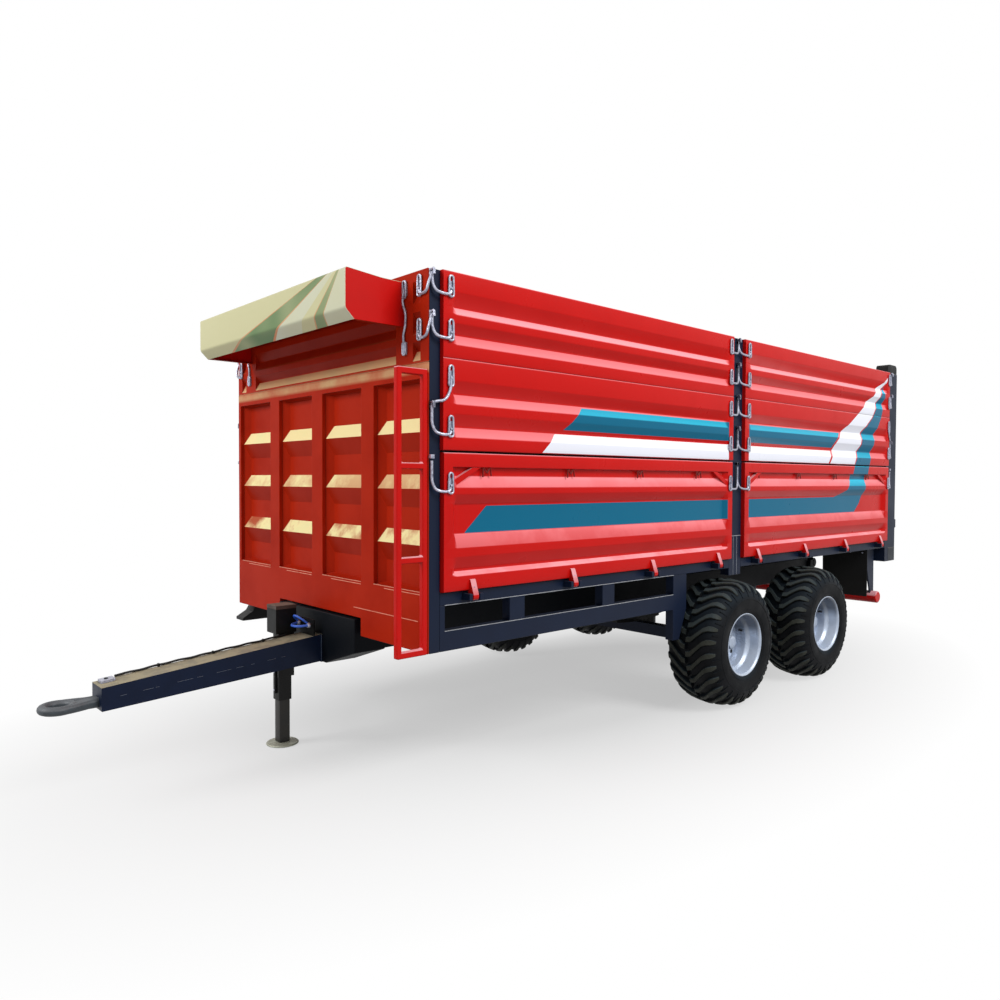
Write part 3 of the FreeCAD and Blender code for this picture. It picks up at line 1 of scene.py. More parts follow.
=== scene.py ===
"""Looks of a tandem-axle tipping farm trailer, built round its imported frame.

Metres, in the frame's own axes: +Y is the rear, +X the trailer's left side, +Z up.
"""

import logging
import math
from collections.abc import Sequence
from dataclasses import dataclass
from enum import Enum
from functools import reduce

import bpy
import numpy as np
from mathutils import Matrix, Vector


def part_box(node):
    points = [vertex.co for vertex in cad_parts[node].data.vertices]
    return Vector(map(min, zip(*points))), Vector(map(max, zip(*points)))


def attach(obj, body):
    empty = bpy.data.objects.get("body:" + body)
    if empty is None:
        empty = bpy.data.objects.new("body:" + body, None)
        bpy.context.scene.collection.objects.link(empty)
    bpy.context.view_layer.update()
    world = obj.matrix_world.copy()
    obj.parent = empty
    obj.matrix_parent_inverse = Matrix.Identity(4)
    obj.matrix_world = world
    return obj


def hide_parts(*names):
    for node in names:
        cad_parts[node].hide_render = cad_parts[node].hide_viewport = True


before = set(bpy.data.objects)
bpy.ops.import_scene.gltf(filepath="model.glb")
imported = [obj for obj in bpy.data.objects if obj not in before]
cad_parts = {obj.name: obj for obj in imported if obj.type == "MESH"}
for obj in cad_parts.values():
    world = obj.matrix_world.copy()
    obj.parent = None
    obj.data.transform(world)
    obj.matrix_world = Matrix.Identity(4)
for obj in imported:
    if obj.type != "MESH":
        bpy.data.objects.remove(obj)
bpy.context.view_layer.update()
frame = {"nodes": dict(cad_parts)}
LOG = logging.getLogger("trailer")
Array = np.ndarray
Point = tuple[float, float]
Tree = bpy.types.NodeTree
Feed = "bpy.types.NodeSocket | float | tuple[float, ...]"

SIDES = (("left", 1), ("right", -1))
SHARP = math.radians(34)            # edges bent further than this are sharp
RGBA = {"out": 2, "data_type": "RGBA"}
PROUD = .0005                       # how far painted seams stand out of a face
LONGEST = .45                       # longest curve of a corner, as a share of a side
# The first grey darkens faces that look down as painted shade; the second is road dirt.
PAINTED_SHADE_GREY, ROAD_DIRT = "#8A8A8A", "#8A7F70"


class Ends(Enum):
    """How a run of rings is closed at its two ends."""

    CAPPED = "capped"
    JOINED = "joined"


class Axis(Enum):
    """An axis of the frame, by its place in a point."""

    X = 0
    Y = 1
    Z = 2


X, Y, Z = Axis
CAPPED, JOINED = Ends


# --- Places read from the frame ---
def box(name: str) -> Array:
    """Lowest and highest corner of a CAD node."""
    return np.array(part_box(name))


@dataclass(frozen=True)
class Layout:
    """Main places of the trailer, all read from the frame's nodes."""

    front: float = box("front_wall")[0, 1]
    pillar_back: float = box("front_pillars")[1, 1]
    half: float = box("front_pillars")[1, 0]
    skirt: float = box("front_pillars")[0, 2]
    top: float = box("front_pillars")[1, 2]
    crest: float = box("middle_boards")[1, 0]       # outer face of the side boards
    skin: float = 0.055                             # their thickness
    seam_top: float = box("top_boards")[0, 2]
    seam_mid: float = box("middle_boards")[0, 2]
    floor: float = box("bed_floor")[1, 2]
    cross: float = box("bed_side_rails")[0, 2]
    centre_front: float = box("centre_pillars")[0, 1]
    centre_back: float = box("centre_pillars")[1, 1]
    rear_front: float = box("rear_posts")[0, 1]
    rear_back: float = box("rear_posts")[1, 1] - 0.02

    def bays(self) -> tuple[Point, Point]:
        """Start and end of the front and the rear bay."""
        return (self.pillar_back, self.centre_front), (self.centre_back, self.rear_front)


AT = Layout()


# --- Shapes ---
def rounded(outline: Array, radius: float, steps: int = 2, closed: bool = True) -> Array:
    """Outline with its corners rounded off.

    Each corner gives way to a quadratic curve, (1-t)^2 A + 2t(1-t) P + t^2 B, between
    the points A and B that lie radius before and after the corner P, or at 0.45 of
    the side where that is shorter.

    Args:
        outline: points in order, (n, 2) or (n, 3).
        radius: distance from a corner to the start of its curve.
        steps: pieces of each curve.
        closed: False keeps the first and the last point as they are.

    Returns:
        The points of the rounded outline.
    """
    outline = np.asarray(outline, float)
    t = np.linspace(0, 1, steps + 1)[None, :, None]
    reach = []
    for turn in (1, -1):
        side = np.roll(outline, turn, 0) - outline
        length = np.linalg.norm(side, axis=1, keepdims=True)
        reach.append(outline + side * np.minimum(radius / np.maximum(length, 1e-9), LONGEST))
    curves = ((1 - t) ** 2 * reach[0][:, None] + 2 * t * (1 - t) * outline[:, None]
              + t ** 2 * reach[1][:, None])
    if closed:
        return curves.reshape(-1, outline.shape[1])
    return np.vstack([outline[:1], *curves[1:-1], outline[-1:]])


def lifted(outline: Array, axis: Axis, place: float) -> Array:
    """Points in the two other axes, set at a place along an axis."""
    return np.insert(np.asarray(outline, float), axis.value, place, axis=1)


def prism(outline: Array, axis: Axis, start: float, end: float) -> Array:
    """Outline in the two other axes, carried along an axis: two equal rings."""
    return np.stack([lifted(outline, axis, place) for place in (start, end)])


def rectangle(x0: float, y0: float, x1: float, y1: float) -> list[Point]:
    """Corners of an upright rectangle, in order."""
    return [(x0, y0), (x1, y0), (x1, y1), (x0, y1)]


def block(first: Sequence[float], last: Sequence[float]) -> Array:
    """Box between two corners, as two rings of four points."""
    (x0, y0, z0), (x1, y1, z1) = first, last
    return prism(rectangle(y0, z0, y1, z1), X, x0, x1)


def lathe(profile: Array, axis: Axis, sides: int = 48,
          centre: Sequence[float] = (0, 0, 0)) -> Array:
    """Profile turned about an axis.

    Ring i lies at along_i, and its point at angle a has the two other coordinates
    radius_i cos a and radius_i sin a.

    Args:
        profile: (along, radius) points.
        axis: what it is turned about.
        sides: points of a ring.
        centre: a point that the axis runs through.

    Returns:
        The rings, one for each point of the profile.
    """
    along, radius = np.array(profile, float).T[:, :, None]
    angle = np.linspace(0, math.tau, sides, endpoint=False)
    rings = [radius * np.cos(angle), radius * np.sin(angle)]
    rings.insert(axis.value, along + 0 * angle)
    return np.stack(rings, -1) + np.asarray(centre, float)


def tube(path: Array, radius: Array | float, across: Axis | Sequence[float],
         sides: int = 6, flat: float = 1.0, closed: bool = False) -> Array:
    """Round or oval bar along a path that lies square to a direction.

    The ring at each point is radius (cos a B + flat sin a N), where N is the direction
    across the path's plane and B the cross product of the path's tangent with N.

    Args:
        path: (m, 3) points.
        radius: one radius, or one a point.
        across: the direction square to the path, an axis or a vector.
        sides: points of a ring.
        flat: thickness along across, as a share of the radius.
        closed: True where the path ends where it starts.

    Returns:
        The rings, (m, sides, 3).
    """
    path = np.asarray(path, float)
    tangent = (np.roll(path, -1, 0) - np.roll(path, 1, 0) if closed
               else np.gradient(path, axis=0))
    normal = np.broadcast_to(
        np.eye(3)[across.value] if isinstance(across, Axis) else across, path.shape)
    side = np.cross(tangent / np.linalg.norm(tangent, axis=1, keepdims=True), normal)
    side /= np.linalg.norm(side, axis=1, keepdims=True)
    angle = np.linspace(0, math.tau, sides, endpoint=False)[None, :, None]
    reach = np.broadcast_to(np.asarray(radius, float), len(path))[:, None, None]
    return path[:, None] + reach * (np.cos(angle) * side[:, None]
                                    + flat * np.sin(angle) * normal[:, None])


def bolt_heads(places: Array, axis: Axis, way: int, size: float) -> Array:
    """Hexagon heads, one at each place, whose three rings stand out along an axis."""
    head = lathe([(0, size), (.55 * size * way, size), (.7 * size * way, size * .86)], axis, 6)
    return np.asarray(places, float)[:, None, None] + head


class Piece:
    """One object, gathered from closed shells that each have a finish."""

    def __init__(self, name: str, body: str, *finishes: "Finish", flip: int = 1,
                 centre: Sequence[float] = (0, 0, 0)) -> None:
        """Start an empty piece.

        Args:
            name: the object's name.
            body: the body that it rides on.
            finishes: its finishes, in the order of their material slots.
            flip: -1 turns everything added over to the right side.
            centre: where everything added has its origin.
        """
        self.name, self.body, self.finishes = name, body, finishes
        self.turn, self.centre = (flip, 1, 1), centre
        self.points: list[Array] = []
        self.faces: list[tuple[Array, Array]] = []
        self.count = 0

    def add(self, rings: Array, finish: int | Sequence[int] = 0, ends: Ends = CAPPED,
            both: bool = False) -> None:
        """Add the surface through rings of points, or through several runs of rings.

        Quads join neighbouring rings point by point.  A run whose signed volume, the
        sum of the triple products of its corners about its middle, is negative is
        turned over, so faces always point outwards.

        Args:
            rings: (m, n, 3), or (k, m, n, 3) for k copies.
            finish: index of the finish, or one index for each gap between rings, or a
                table of them with a column for each side of the ring.
            ends: whether the first and last rings are capped or joined.
            both: True adds the mirror image as well.
        """
        if both:
            self.add(rings * np.array((-1, 1, 1)), finish, ends)
        rings = np.asarray(rings, float) * self.turn + self.centre
        count, size = rings.shape[-3:-1]
        rings = rings.reshape(-1, count, size, 3)
        local = np.arange(rings[..., 0].size).reshape(rings.shape[:3])
        rows = np.concatenate([local, local[:, :1]], 1) if ends is JOINED else local
        first, second = rows[:, :-1], rows[:, 1:]
        quads = np.stack([first, np.roll(first, -1, 2), np.roll(second, -1, 2), second], -1)
        slots = np.asarray(finish)[..., None] if np.ndim(finish) == 1 else finish
        slots = np.broadcast_to(slots, quads.shape[:3]).reshape(-1)
        quads = quads.reshape(len(rings), -1, 4)
        spread = (rings - rings.mean((1, 2), keepdims=True)).reshape(-1, 3)[quads]
        volume = sum((np.cross(spread[:, :, k], spread[:, :, k + 1]) * spread[:, :, 0]).sum((1, 2))
                     for k in (1, 2))
        over = (volume < 0)[:, None]
        quads = np.where(over[..., None], quads[..., ::-1], quads).reshape(-1, 4)
        self.faces.append((quads + self.count, slots))
        if ends is CAPPED:
            for cap in (local[:, 0, ::-1], local[:, -1]):
                cap = np.where(over, cap[:, ::-1], cap)
                self.faces.append((cap + self.count, np.full(len(cap), np.ravel(finish)[0])))
        self.points.append(rings.reshape(-1, 3))
        self.count += local.size

    def build(self, bevel: float = 0.0, replaces: Sequence[str] = ()) -> None:
        """Make the object at the origin, dress it and let it ride.

        Args:
            bevel: width that sharp edges are rounded to, 0 for none.
            replaces: CAD nodes that it stands for.
        """
        mesh = bpy.data.meshes.new(self.name)
        sizes = np.concatenate([np.full(len(faces), faces.shape[1]) for faces, _ in self.faces])
        corners = np.concatenate([faces.ravel() for faces, _ in self.faces])
        mesh.vertices.add(self.count)
        mesh.vertices.foreach_set("co", np.concatenate(self.points).ravel())
        mesh.loops.add(len(corners))
        mesh.loops.foreach_set("vertex_index", corners)
        mesh.polygons.add(len(sizes))
        mesh.polygons.foreach_set("loop_start", np.cumsum(sizes) - sizes)
        mesh.polygons.foreach_set("material_index", np.concatenate([s for _, s in self.faces]))
        mesh.polygons.foreach_set("use_smooth", np.ones(len(sizes), bool))
        mesh.update(calc_edges=True)
        mesh.set_sharp_from_angle(angle=SHARP)
        for finish in self.finishes:
            mesh.materials.append(finish.material())
        made = placed(self.name, mesh)
        if bevel:
            round_edges(made, bevel)
        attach(made, self.body)
        if replaces:
            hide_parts(*replaces)
        LOG.info("%s: %d points, %d faces, on %s", self.name, self.count, len(sizes), self.body)


def placed(name: str, data: bpy.types.ID) -> bpy.types.Object:
    """Put a new object in the scene.

    Args:
        name: its name.
        data: its mesh, camera or lamp.

    Returns:
        The object, at the origin.
    """
    made = bpy.data.objects.new(name, data)
    bpy.context.scene.collection.objects.link(made)
    return made


def round_edges(obj: bpy.types.Object, width: float) -> None:
    """Round an object's sharp edges by a live bevel.

    Args:
        obj: the object.
        width: width of the rounding.
    """
    bevel = obj.modifiers.new("rounded_edges", "BEVEL")
    bevel.width, bevel.segments, bevel.limit_method = width, 2, "ANGLE"
    bevel.angle_limit, bevel.harden_normals, bevel.use_clamp_overlap = SHARP, True, True


# --- Finishes ---
def linear(colour: str) -> tuple[float, float, float, float]:
    """Turn an sRGB colour into a linear one, by the sRGB transfer curve.

    Args:
        colour: hex value, such as "#C8120E".

    Returns:
        Linear red, green and blue, and 1.
    """
    parts = np.array([int(colour[start:start + 2], 16) for start in (1, 3, 5)]) / 255
    parts = np.where(parts <= .04045, parts / 12.92, ((parts + .055) / 1.055) ** 2.4)
    return (*parts.tolist(), 1.0)


def node(tree: Tree, kind: str, inputs: dict[int | str, Feed] | Sequence[Feed] = (),
         out: int | str = 0, **settings: object) -> Feed:
    """Add a node with its settings, and values or links on its inputs.

    Args:
        tree: the node tree.
        kind: the node's type, without the words ShaderNode.
        inputs: values or output sockets, in order, or by the inputs' names or numbers.
        out: the output wanted, by name or number.
        settings: attributes of the node.

    Returns:
        The output socket, whose node is the new one.
    """
    made = tree.nodes.new("ShaderNode" + kind)
    for name, value in settings.items():
        setattr(made, name, value)
    for name, value in inputs.items() if isinstance(inputs, dict) else enumerate(inputs):
        if isinstance(value, bpy.types.NodeSocket):
            tree.links.new(value, made.inputs[name])
        else:
            made.inputs[name].default_value = value
    return made.outputs[out]


def product(tree: Tree, *factors: Feed) -> Feed:
    """All the factors multiplied, the first two first."""
    return reduce(lambda one, two: node(tree, "Math", (one, two), operation="MULTIPLY"), factors)


@dataclass(frozen=True)
class Finish:
    """A surface as made, with the colour, gloss, grain, dirt and painted light that it shows.

    Grain and peel are in millimetres; what is finer than about 6 mm is drawn that
    coarse, so that it shows from where a trailer is looked at.
    """

    name: str
    slot: str
    colour: str
    shade: str                  # what the colour wanders to
    roughness: float = 0.35
    mottle: float = 0.12        # how far it wanders
    mottle_mm: float = 350.0
    metallic: float = 0.0
    coat: float = 0.0
    level: float = 0.5          # specular level
    peel: float = 0.05          # depth of the surface's unevenness
    peel_mm: float = 14.0
    underside_shade: float = 0.25         # painted shade on faces that look down
    dust_and_sheen: float = 0.25          # dust, with a painted sheen of the sky, on faces that look up
    patchy: float = 0.7         # least share of that dust and sheen, low down
    dust_and_sheen_heights: Point = (-1.0, 9.0)       # heights between which it lies; a top under the hood stands for its painted shadow
    level_share: float = 1.0    # share of it on quite level faces
    rail: Point = (9.0, 9.0)    # heights of an upright strip of painted reflection
    dust_and_sheen_colour: str = "#C9BBA6"
    gain: float = 0.0           # how much of the paint, brightened, shows in that film of painted sheen
    splash: float = 0.0         # road dirt low down

    def material(self) -> bpy.types.Material:
        """The finish as a material, made once."""
        found = bpy.data.materials.get(self.name)
        if found:
            return found
        made = bpy.data.materials.new(self.name)
        made.use_nodes = True
        made.diffuse_color = linear(self.colour)
        tree = made.node_tree
        place = node(tree, "TexCoord", out="Object")
        up = node(tree, "SeparateXYZ", [node(tree, "TexCoord", out="Normal")], 2)
        height = node(tree, "SeparateXYZ", [place], 2)
        grain = node(tree, "TexNoise", {"Vector": place, "Scale": 1000 / self.mottle_mm,
                                        "Detail": 5.0, "Roughness": .6})
        fine = node(tree, "TexNoise", {"Vector": place, "Scale": 1000 / self.peel_mm,
                                       "Detail": 2.0})
        # Each MapRange takes a value, the two ends of its range, and what they turn into.
        worn = node(tree, "MapRange", (grain, .42, .72, 0, self.mottle))
        colour = node(tree, "Mix", {0: worn, 6: linear(self.colour), 7: linear(self.shade)},
                      **RGBA)
        colour = self.pattern(tree, place, colour)
        # Painted shade: faces that look down are multiplied by a grey.
        underside_shade = node(tree, "MapRange", (up, -.1, -.5, 0, self.underside_shade))
        colour = node(tree, "Mix", {0: underside_shade, 6: colour, 7: linear(PAINTED_SHADE_GREY)},
                      blend_type="MULTIPLY", **RGBA)
        # Dust with a painted sheen of the sky on faces that look up, less of it low down and on
        # level faces.
        least = node(tree, "MapRange", (height, 1.3, 1.8, self.patchy, 1))
        dust_and_sheen_share = product(
            tree, node(tree, "MapRange", (up, .15, .4, 0, self.dust_and_sheen)),
            node(tree, "MapRange", (grain, .42, .55, least, 1)),
            node(tree, "MapRange", (up, .78, .9, 1, self.level_share)),
            *[node(tree, "MapRange", (height, limit, limit + fade))
              for limit, fade in zip(self.dust_and_sheen_heights, (.04, -.27))])
        # An upright strip between the rail heights gets the same film as a painted reflection.
        strip = product(
            tree, node(tree, "MapRange", (grain, .35, .65, .15, .5)),
            *[node(tree, "MapRange", (height, edge, edge + fade))
              for edge, fade in zip(self.rail, (.02, -.02))])
        dust_and_sheen_share = node(tree, "Math", (dust_and_sheen_share, strip), operation="MAXIMUM")
        film = node(tree, "VectorMath", (colour, [self.gain] * 3, linear(self.dust_and_sheen_colour)[:3]),
                    operation="MULTIPLY_ADD")
        colour = node(tree, "Mix", {0: dust_and_sheen_share, 6: colour, 7: film}, clamp_result=True, **RGBA)
        near = product(tree, node(tree, "MapRange", (height, 1, .2, 0, self.splash)), grain)
        rough = node(tree, "MapRange", (grain, .3, .7, self.roughness * .85,
                                        self.roughness * 1.2))
        surface = {
            "Base Color": node(tree, "Mix", {0: near, 6: colour, 7: linear(ROAD_DIRT)}, **RGBA),
            "Roughness": node(tree, "Math", (dust_and_sheen_share, .2, rough), operation="MULTIPLY_ADD"),
            "Normal": node(tree, "Bump", {"Height": fine, "Strength": self.peel,
                                          "Distance": .004}),
            "Metallic": self.metallic, "Coat Weight": self.coat, "Coat Roughness": .12,
            "Specular IOR Level": self.level}
        shader = tree.nodes["Principled BSDF"]
        for name, value in surface.items():
            if isinstance(value, float):
                shader.inputs[name].default_value = value
            else:
                tree.links.new(value, shader.inputs[name])
        return made

    def pattern(self, tree: Tree, place: Feed, ground: Feed) -> Feed:
        """Painted bands over the ground colour; none on a plain finish."""
        return ground


@dataclass(frozen=True)
class Livery(Finish):
    """Red enamel with masked bands of teal and white, sprayed square to the side.

    Heights are over the ground and lengths behind the body's front.  Each edge is a
    run of straight pieces, given as (height, length) points.
    """

    teal: str = "#086686"
    white: str = "#EEF0FA"
    # Feet and tops of the teal bands, the dark flash, the white band and its flash.
    upper: Point = (1.831, 1.962)
    lower: Point = (1.283, 1.418)
    dark: Point = (1.40, 2.42)
    pale: Point = (1.699, 1.806)
    flash: Point = (1.699, 2.53)
    # Slant that the bands start on, then front and back of the white and the dark flash.
    edges: tuple = (
        ((1.2, .2), (1.283, .227), (1.418, .374), (1.694, .751), (1.808, .876), (1.83, .94),
         (1.96, 1.09), (2.6, 1.8)),
        ((1.69, 4.15), (1.75, 4.20), (1.87, 4.26), (2.0, 4.43), (2.13, 4.66), (2.24, 4.84),
         (2.33, 5.01), (2.40, 5.08), (2.46, 5.22), (2.53, 5.32)),
        ((1.69, 4.62), (1.75, 4.65), (1.87, 4.74), (2.0, 4.78), (2.13, 4.97), (2.24, 5.06),
         (2.33, 5.14), (2.40, 5.19), (2.46, 5.27), (2.53, 5.33)),
        ((1.40, 4.20), (1.43, 4.34), (1.47, 4.48), (1.55, 4.57), (1.70, 4.635), (1.87, 4.755),
         (2.0, 4.80), (2.13, 4.985), (2.24, 5.075), (2.33, 5.155), (2.42, 5.24)),
        ((1.28, 4.68), (1.36, 4.78), (1.46, 4.85), (1.55, 4.87), (1.70, 4.93), (1.87, 5.01),
         (2.0, 5.06), (2.13, 5.16), (2.24, 5.21), (2.33, 5.25), (2.42, 5.25)))
    line: float = 0.03          # width of the ground that shows before the white flash
    span: float = 6.0           # metres that the curves' unit square stands for

    def edge(self, tree: Tree, height: Feed, points: Sequence[Point]) -> Feed:
        """Length at which a painted edge lies.

        Args:
            tree: the node tree.
            height: height over the ground.
            points: (height, length) of the edge's corners.

        Returns:
            The length, in metres.
        """
        share = node(tree, "Math", (height, self.span), operation="DIVIDE")
        curve = node(tree, "FloatCurve", {1: share})
        mapping = curve.node.mapping
        mapping.extend = "HORIZONTAL"
        line = mapping.curves[0].points
        for number, (at, length) in enumerate(points):
            spot = line[number] if number < 2 else line.new(1, 1)
            spot.location = (at / self.span, length / self.span)
            spot.handle_type = "VECTOR"
        mapping.update()
        return product(tree, curve, self.span)

    def pattern(self, tree: Tree, place: Feed, ground: Feed) -> Feed:
        """Bands that start on a slant, and two rising flashes ahead of the rear post.

        Args:
            tree: the node tree.
            place: where the point lies.
            ground: the colour under the bands.

        Returns:
            The colour with the bands.
        """
        height, along, out = [node(tree, "SeparateXYZ", [place], axis) for axis in (2, 1, 0)]
        length = node(tree, "Math", (along, AT.front), operation="SUBTRACT")
        start, pale_front, pale_back, dark_front, dark_back = [
            self.edge(tree, height, points) for points in self.edges]
        ahead = node(tree, "Math", (pale_front, self.line), operation="SUBTRACT")
        outer = node(tree, "Math", (node(tree, "Math", [out], operation="ABSOLUTE"),
                                    AT.crest - .75 * AT.skin), operation="GREATER_THAN")
        colour = ground
        for (foot, top), first, last, shown in (
                (self.upper, start, ahead, self.teal), (self.lower, start, dark_back, self.teal),
                (self.dark, dark_front, dark_back, self.teal),
                (self.pale, start, ahead, self.white),
                (self.flash, pale_front, pale_back, self.white)):
            inside = product(tree, 1.0, *[
                node(tree, "Math", (value, limit), operation=test) for value, limit, test in (
                    (height, foot, "GREATER_THAN"), (height, top, "LESS_THAN"),
                    (length, first, "GREATER_THAN"), (length, last, "LESS_THAN"))], outer)
            colour = node(tree, "Mix", {0: inside, 6: colour, 7: linear(shown)}, **RGBA)
        return colour


@dataclass(frozen=True)
class FannedBands(Finish):
    """Cream enamel with plain green and white bands that fan out from one corner.

    Each band is (where it starts, its colour) by the angle about the corner, which is
    0 straight down and 1 level.
    """

    corner: Point = (0.86, 2.60)
    bands: tuple = ((0.0, "#D3D6C4"), (.42, "#D2733F"), (.432, "#0F6428"), (.54, "#D2733F"),
        (.552, "#CDC99C"), (.66, "#D3D6C4"), (.775, "#D2733F"), (.785, "#0F6428"),
        (.86, "#D2733F"), (.866, "#CDC99C"))

    def pattern(self, tree: Tree, place: Feed, ground: Feed) -> Feed:
        """Bands by their angle, under a soft cloud of the cream.

        Args:
            tree: the node tree.
            place: where the point lies.
            ground: the colour of a plain finish, which isn't used.

        Returns:
            The colour of the bands.
        """
        across, down = [
            node(tree, "Math", (at, node(tree, "SeparateXYZ", [place], axis)),
                 operation="SUBTRACT") for at, axis in zip(self.corner, (0, 2))]
        turn = node(tree, "Math", (across, down), operation="ARCTAN2")
        turn = node(tree, "Math", (turn, math.pi / 2), operation="DIVIDE")
        ramp = node(tree, "ValToRGB", [turn])
        stops = ramp.node.color_ramp
        stops.interpolation = "CONSTANT"
        for number, (at, colour) in enumerate(self.bands):
            stop = stops.elements[number] if number < 2 else stops.elements.new(at)
            stop.position, stop.color = at, linear(colour)
        cloud = node(tree, "TexNoise", {"Vector": place, "Scale": 2.2, "Detail": 1.0})
        cloud = node(tree, "MapRange", (cloud, .42, .66, 0, .55))
        return node(tree, "Mix", {0: cloud, 6: ramp, 7: linear(self.colour)}, **RGBA)


# Stoved enamel on pressed steel: clear gloss with slight orange peel; slopes that look up
# carry a pale film that is a painted reflection of the sky, those that look down painted shade.
RED = Finish("red_stoved_enamel", "body_red", "#C8120E", "#8A0C0A", .30, .15, coat=.03, level=.10,
    underside_shade=.5, dust_and_sheen=.85, dust_and_sheen_colour="#3CB4BC", gain=1.5)
# Front wall: golden painted reflection on the rib slopes, none above 2.27 m where the hood casts
# its painted shadow, and an upright strip of it along the header rail.
RED_FRONT = Finish("red_enamel_front", "body_red", "#AE260E", "#7A0C06", .36, .35, level=.03,
    underside_shade=.45, dust_and_sheen=1.0, patchy=.1, dust_and_sheen_heights=(1.10, 2.27), level_share=.1, rail=(2.062, 2.125),
    dust_and_sheen_colour="#4CE8AE", gain=2.3)
BANDED = Livery("red_enamel_with_bands", "body_red", "#C8120E", "#860C0A", .30, .12, coat=.03,
    level=.10, underside_shade=.6, dust_and_sheen=.85, dust_and_sheen_colour="#3CB4BC", gain=2.4)
HOOD_BANDS = FannedBands("banded_enamel", "body_red", "#CDC99C", "#A9B488", .35, .3, 500, coat=.03,
    level=.15, underside_shade=.3, dust_and_sheen=.1)
# Pale pink beads on the red apron: weld lines whose pale colour is a painted highlight.
RED_SEAM = Finish("red_weld_bead_painted_highlight", "body_red", "#F09A80", "#C04A34", .4, .5, 40, level=.25)
RED_DEEP = Finish("red_wire_enamel", "body_red", "#7C0F0D", "#4A0808", .4, .3, 20, level=.25,
    dust_and_sheen=.1)
# Two-pack chassis enamel: dark blue satin that holds a brown film of road dust on its tops.
NAVY = Finish("navy_chassis_enamel", "navy_paint", "#121D33", "#090C13", .42, .35, 500, level=.13,
    dust_and_sheen_colour="#4A4A4E", splash=.04)
NAVY_DUSTY = Finish("navy_enamel_dusty", "navy_paint", "#0C1830", "#080D18", .42, .3, 90, level=.13,
    dust_and_sheen=.95, dust_and_sheen_colour="#9E957C")
# Navy in painted shade: a darker copy for the chassis and bed under the body, and for the strips
# behind the board seams.
NAVY_SHADED = Finish("navy_enamel_painted_shade", "navy_paint", "#05080E", "#020305", .5, .4, 400,
    level=.08, dust_and_sheen=.15, dust_and_sheen_colour="#2A2A2C")
# Blue-grey beads on the drawbar: raised weld lines whose lighter colour is a painted highlight.
DIM_SEAM = Finish("dim_weld_bead_painted_highlight", "navy_paint", "#4C586A", "#1E2633", .5, .5, 30, level=.2)
# Pale grey beads on navy: raised seams whose pale colour is a painted highlight.
SEAM = Finish("weld_bead_painted_highlight", "navy_paint", "#A3A8B0", "#3A4252", .5, .5, 30, peel=.3)
GREY = Finish("grey_primer", "navy_paint", "#2A2E34", "#16191D", .55, .4, 150, level=.25, dust_and_sheen=.3)
# Black enamel, brushed or dipped: half gloss, with grey dust and road dirt.
BLACK = Finish("black_enamel", "black_paint", "#06080A", "#030405", .45, .4, 120, level=.18,
    dust_and_sheen=.15, dust_and_sheen_colour="#3C3834", splash=.04)
LID = Finish("brown_lid", "black_paint", "#4E3F38", "#2A211D", .6, .5, 60, level=.3, dust_and_sheen=.2)
FORGED = Finish("forged_eye_paint", "black_paint", "#3A4147", "#1E2226", .5, .5, 60, metallic=.2,
    peel=.35, peel_mm=20, dust_and_sheen=.35, dust_and_sheen_colour="#77777A")
# Bare steel: dark where it slides and is greased, pale where the ground has galled it.
BARE = Finish("worn_bare_steel", "bare_steel", "#141517", "#08090A", .4, .5, 90, metallic=.5,
    peel=.15, splash=.1)
FOOT = Finish("galled_foot_plate", "bare_steel", "#A3A899", "#5E6258", .5, .6, 40, metallic=.4,
    peel=.25)
CHROME = Finish("ground_chrome", "chrome_rod", "#C8CACE", "#000000", .12, .1, metallic=1.0,
    peel=0.0, dust_and_sheen=0.0)
# Hot-dip zinc: pale blue-white metal whose crystals and grey bloom mottle it.
ZINC = Finish("zinc_plated_steel", "zinc", "#B4B7C8", "#55586C", .38, .75, 16, metallic=.55,
    peel=.35, peel_mm=9, dust_and_sheen=.1)
# Silver wheel enamel: fine aluminium flake in lacquer, milky blue-grey, with painted shade
# on faces that look down and a pale painted highlight on those that look up.
SILVER = Finish("silver_wheel_enamel", "rim_silver", "#B4C0D2", "#6E7B92", .30, .35, 90,
    metallic=.35, coat=.1, underside_shade=1.0, dust_and_sheen=.4, dust_and_sheen_colour="#DCE6F6")
# Carbon-black rubber: matt, with a blue-grey painted sheen on faces that look up; the lug
# tops are a lighter olive rubber with dust, partly a painted highlight over their dark sides.
TYRE = Finish("tyre_rubber_with_painted_sheen", "tyre_rubber", "#07090D", "#030405", .6, .5, 120, level=.12,
    peel=.25, peel_mm=10, dust_and_sheen=.45, dust_and_sheen_colour="#202B34")
TREAD = Finish("tread_rubber", "tyre_rubber", "#2E302A", "#161813", .62, .5, 45, level=.2, peel=.35,
    peel_mm=9, dust_and_sheen=.5, dust_and_sheen_colour="#3A474D")
FLAP = Finish("sheet_rubber", "flap_rubber", "#090A0B", "#040405", .7, .4, 150, level=.2, dust_and_sheen=.1,
    splash=.05)
# Moulded acrylic lens, and extruded polyurethane hose: clear colour with a soft gloss.
LAMP = Finish("red_lamp_lens", "lamp_red", "#8E1414", "#5A0A0A", .15, .3, 12, coat=.6, peel=.3,
    peel_mm=8, dust_and_sheen=.1)
HOSE = Finish("blue_air_hose", "blue_hose", "#2463D8", "#163F96", .45, .3, 20, dust_and_sheen=.1)


def dress(finish: Finish, bevel: float, *names: str) -> None:
    """Give CAD nodes their finish, and round their edges by live modifiers.

    Args:
        finish: their finish.
        bevel: width of the rounding, 0 for none.
        names: the CAD nodes.
    """
    for name in names:
        shown = frame["nodes"][name]
        shown.data.materials.clear()
        shown.data.materials.append(finish.material())
        if bevel:
            weld = shown.modifiers.new("one_skin", "WELD")
            weld.merge_threshold = 1e-5
            round_edges(shown, bevel)
        LOG.info("%s: dressed in %s", name, finish.name)


